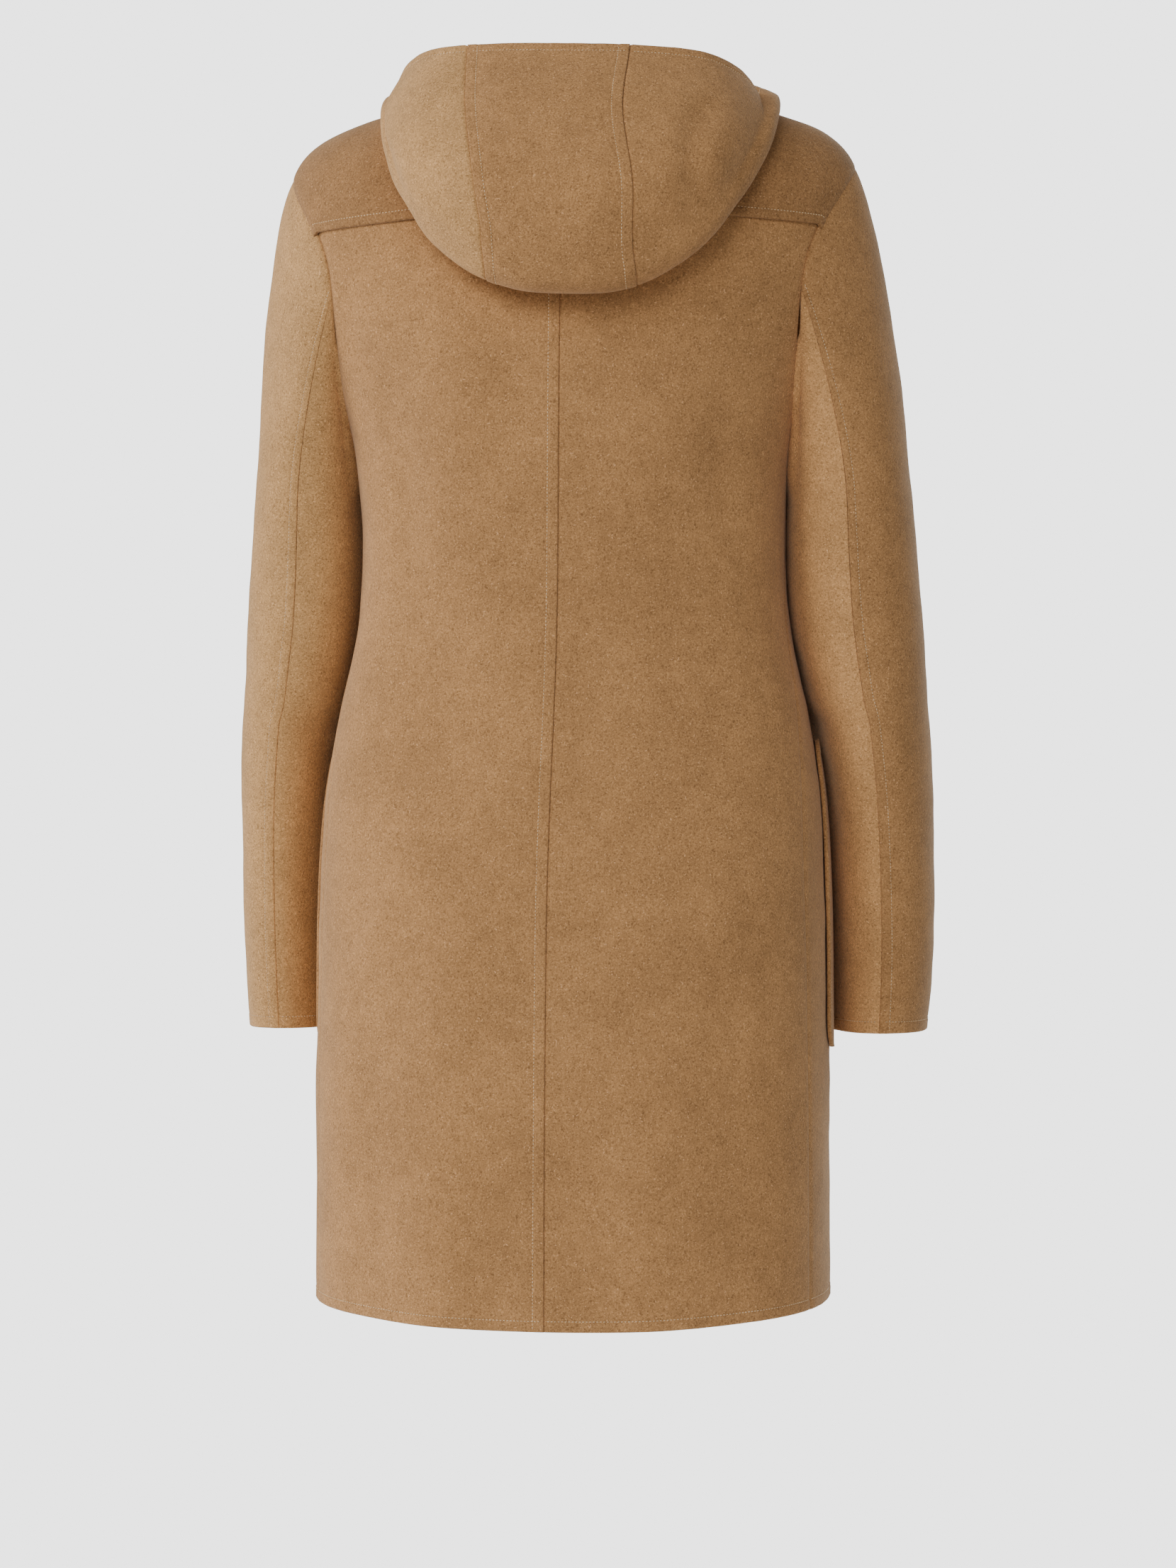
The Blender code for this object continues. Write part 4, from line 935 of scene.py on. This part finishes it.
# x0, z0, x1, z1, half_width, height
BACK_FOLDS = (
    (0.098, -0.552, 0.142, -0.626, 0.011, 0.0016),
    (0.070, -0.590, 0.112, -0.672, 0.015, -0.0012),
    (-0.132, -0.255, -0.130, -0.345, 0.013, -0.0016),
    (-0.108, -0.262, -0.112, -0.330, 0.012, 0.0010),
    (0.008, -0.800, 0.006, -0.872, 0.012, 0.0012),
    (-0.090, -0.775, -0.094, -0.868, 0.017, -0.0014),
    (0.164, -0.140, 0.146, -0.285, 0.008, 0.0018),
    (0.124, -0.225, 0.150, -0.165, 0.010, -0.0011),
    (-0.120, -0.560, -0.142, -0.660, 0.014, 0.0013),
    (-0.060, -0.430, -0.070, -0.500, 0.016, -0.0009),
)
FRONT_FOLDS = (
    (0.130, -0.150, 0.105, -0.235, 0.011, 0.0015),
    (0.108, -0.140, 0.085, -0.215, 0.013, -0.0012),
    (-0.136, -0.155, -0.112, -0.225, 0.011, 0.0015),
    (-0.080, -0.360, -0.120, -0.420, 0.014, -0.0012),
    (0.085, -0.375, 0.125, -0.425, 0.014, 0.0012),
    (0.095, -0.740, 0.105, -0.860, 0.018, -0.0015),
    (-0.110, -0.755, -0.116, -0.866, 0.018, 0.0014),
    (-0.060, -0.760, -0.062, -0.862, 0.016, -0.0010),
)
SLEEVE_FOLDS = (
    (0.204, -0.385, 0.240, -0.365, 0.009, -0.0010),
    (0.206, -0.425, 0.244, -0.410, 0.010, -0.0012),
    (0.206, -0.462, 0.236, -0.455, 0.009, 0.0009),
    (0.226, -0.140, 0.236, -0.225, 0.012, 0.0012),
    (0.212, -0.180, 0.220, -0.260, 0.010, -0.0010),
)
HOOD_FOLDS = (
    (0.104, -0.060, 0.038, -0.1190, 0.0075, 0.0026),
    (0.108, -0.078, 0.046, -0.1310, 0.0060, -0.0022),
    (-0.116, -0.010, -0.104, -0.080, 0.0090, -0.0028),
    (-0.096, -0.005, -0.090, -0.070, 0.0100, 0.0012),
    (0.060, 0.010, 0.030, -0.040, 0.0120, -0.0010),
)

PANELS = {}
PIECES = {}


def cloth(name, panel, look):
    """Finishes a panel and stands it for its solid."""
    made = panel.finish(name + "_cloth", look)
    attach(made, "root")
    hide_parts(name)
    float(panel.area())
    PANELS[name] = panel
    PIECES[name] = made


def build_back(name, side, look):
    def surface(r, c):
        angle, t = back_place(r, c, True)
        return body_point(mirrored(angle, side), t)
    panel = Panel(surface, (T_HEM, T_NECK), float(side), ("left", "right", "high"))
    panel.topstitched("low")
    if side > 0:
        panel.topstitched("left")
    else:
        panel.pressed("left", *SEAM_LINE)
    panel.pressed("right")
    panel.folded(BACK_FOLDS).uneven(20 + side)
    cloth(name, panel, look)


def build_yoke(look):
    def surface(r, c):
        across = 2.0 * c - 1.0
        angle, t = back_place(r, np.abs(across), False)
        angle = np.where(across < 0.0, math.pi - angle, angle)
        return body_point(angle, t, LAP)
    panel = Panel(surface, (YOKE_CORNER_T, YOKE_TOP_T), sewn=("left", "right", "high"))
    panel.topstitched("low", height=0.0006)
    panel.pressed("left").pressed("right")
    panel.uneven(31)
    cloth("back_yoke", panel, look)


def build_front(name, side, look):
    def surface(r, c):
        angle = mirrored(front_angle(r, c), side)
        return body_point(angle, r, front_lift(side, angle, r))
    panel = Panel(surface, (T_HEM, T_NECK), float(side), ("left", "high"))
    panel.topstitched("low").topstitched("right")
    panel.pressed("left")
    panel.folded(FRONT_FOLDS).uneven(40 + side)
    cloth(name, panel, look)


def pocket_place(down, across, side):
    t = ring_t(0.0, POCKET_TOP_Z - POCKET_HEIGHT * down)
    to_end = POCKET_HEIGHT * np.minimum(down, 1.0 - down)
    short = np.clip(POCKET_CORNER - to_end, 0.0, POCKET_CORNER)
    inset = POCKET_CORNER - np.sqrt(POCKET_CORNER ** 2 - short ** 2)
    arc = ring("half_width", t) * (front_edge(t) - centre_front(t)) * POCKET_WIDTH_SHARE
    turn = inset / arc
    place = lerp(POCKET_REAR + turn, POCKET_FORE - turn, across)
    angle = mirrored(front_angle(t, place), side)
    lift = POCKET_LAP + POCKET_GAPE * np.sin(math.pi * across) * (1.0 - down) ** 3
    return angle, t, lift


def build_pocket(name, side, look):
    def surface(r, c):
        r, c = np.broadcast_arrays(r, c)
        angle, t, lift = pocket_place(1.0 - r, c, side)
        return body_point(angle, t, lift)
    panel = Panel(surface, (0.0, 1.0), outward=float(side))
    for edge in ("left", "right", "low"):
        panel.topstitched(edge, POCKET_STITCH_IN, 0.0003)
    panel.topstitched("high", POCKET_TOP_STITCH_IN, 0.0004)
    cloth(name, panel, look)


def build_sleeve_piece(name, side, turn0, turn1, look, stitched):
    edge = 0.5 * SEAM_GAP / SLEEVE_RADIUS
    flip = np.array((float(side), 1.0, 1.0))

    def surface(r, c):
        turn = lerp(turn0 + edge, turn1 - edge, c)
        turn = (turn + math.pi) % TAU - math.pi
        return sleeve_point(side, turn, r) * flip
    panel = Panel(surface, (0.0, 2.0), float(side), ("left", "right", "low"), ARMHOLE_REACH)
    near_head = smooth(1.0 - panel.r / 0.3)
    if stitched:
        panel.topstitched("right")
    panel.topstitched("high", CUFF_STITCH_IN)
    panel.pressed("low", depth=SEAM_LINE[1])
    panel.pressed("left" if stitched else "right", *SEAM_LINE)
    turn = (lerp(turn0, turn1, panel.c) + math.pi) % TAU - math.pi
    angle, t = armhole_place(turn)
    lead = body_normal(angle, t) * flip
    near = near_head * smooth(0.7 + np.cos(turn))
    panel.n = unit(lerp(panel.n, lead, spread(near)))
    panel.folded([(side * x0, z0, side * x1, *rest) for x0, z0, x1, *rest in SLEEVE_FOLDS])
    panel.uneven(50 + side)
    cloth(name, panel, look)


def hood_edge(stations, r, inward):
    u = np.maximum(0.0, r - 3.0)
    station = np.where(r >= 3.0, cubic(stations, 3.0 * u), stations[0])
    run = hood_point(station + HOOD_PROBE, r) - hood_point(station - HOOD_PROBE, r)
    return station + inward * 2.0 * HOOD_PROBE * HOOD_SEAM_TRIM / np.linalg.norm(run, axis=-1)


def build_hood_piece(name, first, last, look, stitched):
    def surface(r, c):
        r, c = np.broadcast_arrays(np.asarray(r, float), np.asarray(c, float))
        r_key = r[:, 0] if r.ndim == 2 and np.ptp(r, axis=1).max() < 1e-12 else r
        ends = []
        for edge, inward in ((first, 1.0), (last, -1.0)):
            if isinstance(edge, tuple):
                found = hood_edge(edge, r_key, inward)
                ends.append(found[:, None] if found.ndim == 1 else found)
            else:
                ends.append(float(edge))
        return hood_point(lerp(ends[0], ends[1], c), r)
    panel = Panel(surface, (0.0, 4.0), sewn=("left", "right", "low"))
    panel.topstitched("high")
    if stitched:
        panel.topstitched("left").topstitched("right")
    else:
        panel.pressed("left" if isinstance(first, tuple) else "right", *HOOD_SEAM_LINE)
    panel.folded(HOOD_FOLDS).uneven(60)
    cloth(name, panel, look)


camel = wool("camel_wool")
# A lighter copy of the wool, painted light: the left sleeves and left hood panel are brightened
# beyond what the lamps give them.
camel_painted_lit = wool("camel_wool_painted_lit", (1.22, 1.30, 1.30))
# A darker copy of the wool, painted shade on the yoke, which lies under the hood.
camel_painted_shade = wool("camel_wool_painted_shade", (0.78, 0.77, 0.77))
# A much lighter copy of the wool, painted light: it lifts the right under-sleeve out of the shadow
# the body casts on it.
camel_painted_lit_strong = wool("camel_wool_painted_lit_strong", (1.40, 1.44, 1.46))
thread = thread_look()
leather = leather_look()
wood = wood_look()

build_back("back_left", 1, camel)
build_back("back_right", -1, camel)
# The yoke wears the painted shade copy.
build_yoke(camel_painted_shade)
build_front("front_left", 1, camel)
build_front("front_right", -1, camel)
build_pocket("pocket_left", 1, camel)
build_pocket("pocket_right", -1, camel)
# The left sleeves wear the painted light copy; the right under-sleeve wears the stronger painted
# light copy.
for side, label in ((1, "left"), (-1, "right")):
    build_sleeve_piece("sleeve_upper_" + label, side, FRONT_SEAM, BACK_SEAM,
                       camel_painted_lit if side > 0 else camel, True)
    build_sleeve_piece("sleeve_under_" + label, side, BACK_SEAM, FRONT_SEAM + TAU,
                       camel_painted_lit if side > 0 else camel_painted_lit_strong, False)
build_hood_piece("hood_centre", HOOD_SEAM_RIGHT, HOOD_SEAM_LEFT, camel, True)
# The left hood panel wears the painted light copy.
build_hood_piece("hood_left", HOOD_SEAM_LEFT, HOOD_LAST, camel_painted_lit, False)
build_hood_piece("hood_right", -HOOD_LAST, HOOD_SEAM_RIGHT, camel, False)

POCKET_STITCHES = {"left": POCKET_STITCH_IN, "right": POCKET_STITCH_IN,
                   "low": POCKET_STITCH_IN, "high": POCKET_TOP_STITCH_IN}
# panel, and the inset of the stitches along each of its edges
STITCH_LINES = {
    "back_left": {"low": STITCH_IN, "left": STITCH_IN},
    "back_right": {"low": STITCH_IN},
    "back_yoke": {"low": STITCH_IN},
    "front_left": {"low": STITCH_IN, "right": STITCH_IN},
    "front_right": {"low": STITCH_IN, "right": STITCH_IN},
    "hood_centre": {"left": STITCH_IN, "right": STITCH_IN, "high": STITCH_IN},
    "hood_left": {"high": STITCH_IN},
    "hood_right": {"high": STITCH_IN},
    "pocket_left": POCKET_STITCHES,
    "pocket_right": POCKET_STITCHES,
    "sleeve_under_left": {"high": CUFF_STITCH_IN},
    "sleeve_under_right": {"high": CUFF_STITCH_IN},
    "sleeve_upper_left": {"right": STITCH_IN, "high": CUFF_STITCH_IN},
    "sleeve_upper_right": {"right": STITCH_IN, "high": CUFF_STITCH_IN},
}
for name, edges in STITCH_LINES.items():
    lines = [stitch_line(PANELS[name], edge, inset) for edge, inset in edges.items()]
    made = stitches(name + "_stitches", lines, thread)
    made.parent = PIECES[name]

for name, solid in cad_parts.items():
    if name.startswith(("patch", "loop", "toggle")):
        wooden = name.startswith("toggle") and name.split("_")[1].isdigit()
        solid.data.materials.clear()
        solid.data.materials.append(wood if wooden else leather)

# ---------------- floor, light and camera

PHOTO_YAW = math.radians(8.0)
PHOTO_DISTANCE = 2.8
PHOTO_HEIGHT = -0.495
PHOTO_SIDE = 0.01034
LENS = 85.98
FLOOR_Z = -1.45
BACKDROP = 3.0
FLOOR_GLOW = 0.5
AMBIENT = 0.34         # the world's light on the cloth, which is less than the BACKDROP seen
FLOOR_RADIUS = 6.0
FLOOR_SIDES = 96
LAMP_AIM = Vector((0.0, 0.0, -0.45))
# name, place, size, power
LAMPS = (
    ("high_left", (1.9, 1.9, 1.4), 1.5, 38.0),
    ("side_left", (3.0, 0.2, -0.4), 1.6, 58.0),
    ("behind", (0.3, 2.8, 0.9), 1.5, 27.0),
    ("behind_right", (-1.5, 2.6, -0.4), 1.6, 9.0),
    ("front", (-1.0, -3.0, 0.3), 2.2, 55.0),
)


def area_light(name, place, size, power):
    lamp = bpy.data.lights.new(name, "AREA")
    lamp.shape = "DISK"
    lamp.size = size
    lamp.energy = power
    lamp.color = WHITE
    made = bpy.data.objects.new(name, lamp)
    made.location = place
    made.rotation_mode = "QUATERNION"
    made.rotation_quaternion = (LAMP_AIM - Vector(place)).to_track_quat("-Z", "Y")
    bpy.context.scene.collection.objects.link(made)


def build_stage():
    turns = [TAU * k / FLOOR_SIDES for k in range(FLOOR_SIDES)]
    verts = [(0.0, 0.0, FLOOR_Z)]
    verts += [(FLOOR_RADIUS * math.cos(a), FLOOR_RADIUS * math.sin(a), FLOOR_Z) for a in turns]
    faces = [(0, 1 + k, 1 + (k + 1) % FLOOR_SIDES) for k in range(FLOOR_SIDES)]
    look, tree, shader = new_material("floor_pale")
    shader.inputs["Base Color"].default_value = (0.80, 0.80, 0.80, 1.0)
    shader.inputs["Roughness"].default_value = 0.9
    shader.inputs["Emission Color"].default_value = (*WHITE, 1.0)
    shader.inputs["Emission Strength"].default_value = FLOOR_GLOW
    coords = node(tree, "ShaderNodeTexCoord").outputs["Object"]
    flat = node(tree, "ShaderNodeVectorMath", operation="MULTIPLY")
    flat.inputs[1].default_value = (1.0, 1.0, 0.0)
    far = node(tree, "ShaderNodeVectorMath", operation="LENGTH")
    fade = node(tree, "ShaderNodeMapRange", interpolation_type="SMOOTHSTEP")
    fade.inputs["From Min"].default_value = 0.6
    fade.inputs["From Max"].default_value = 1.7
    fade.inputs["To Min"].default_value = 1.0
    fade.inputs["To Max"].default_value = 0.0
    tree.links.new(coords, flat.inputs[0])
    tree.links.new(flat.outputs["Vector"], far.inputs[0])
    tree.links.new(far.outputs["Value"], fade.inputs["Value"])
    tree.links.new(fade.outputs["Result"], shader.inputs["Alpha"])
    floor = mesh_piece("floor", verts, faces, look)
    world = bpy.data.worlds.new("pale_studio")
    world.use_nodes = True
    tree = world.node_tree
    seen = tree.nodes["Background"]
    seen.inputs["Color"].default_value = (*WHITE, 1.0)
    seen.inputs["Strength"].default_value = BACKDROP
    lit = node(tree, "ShaderNodeBackground")
    lit.inputs["Strength"].default_value = AMBIENT
    pick = node(tree, "ShaderNodeMixShader")
    tree.links.new(node(tree, "ShaderNodeLightPath").outputs["Is Camera Ray"], pick.inputs["Fac"])
    tree.links.new(lit.outputs["Background"], pick.inputs[1])
    tree.links.new(seen.outputs["Background"], pick.inputs[2])
    tree.links.new(pick.outputs["Shader"], tree.nodes["World Output"].inputs["Surface"])
    bpy.context.scene.world = world
    for lamp in LAMPS:
        area_light(*lamp)


def build_camera():
    right = Vector((-math.cos(PHOTO_YAW), -math.sin(PHOTO_YAW), 0.0))
    ahead = Vector((math.sin(PHOTO_YAW), -math.cos(PHOTO_YAW), 0.0))
    data = bpy.data.cameras.new("photo")
    data.sensor_width = 36.0
    data.sensor_fit = "AUTO"
    data.lens = LENS
    data.clip_start, data.clip_end = 0.1, 60.0
    made = bpy.data.objects.new("photo", data)
    made.location = -ahead * PHOTO_DISTANCE + right * PHOTO_SIDE + Vector((0.0, 0.0, PHOTO_HEIGHT))
    made.rotation_mode = "QUATERNION"
    made.rotation_quaternion = ahead.to_track_quat("-Z", "Y")
    bpy.context.scene.collection.objects.link(made)
    bpy.context.scene.camera = made


build_stage()
build_camera()
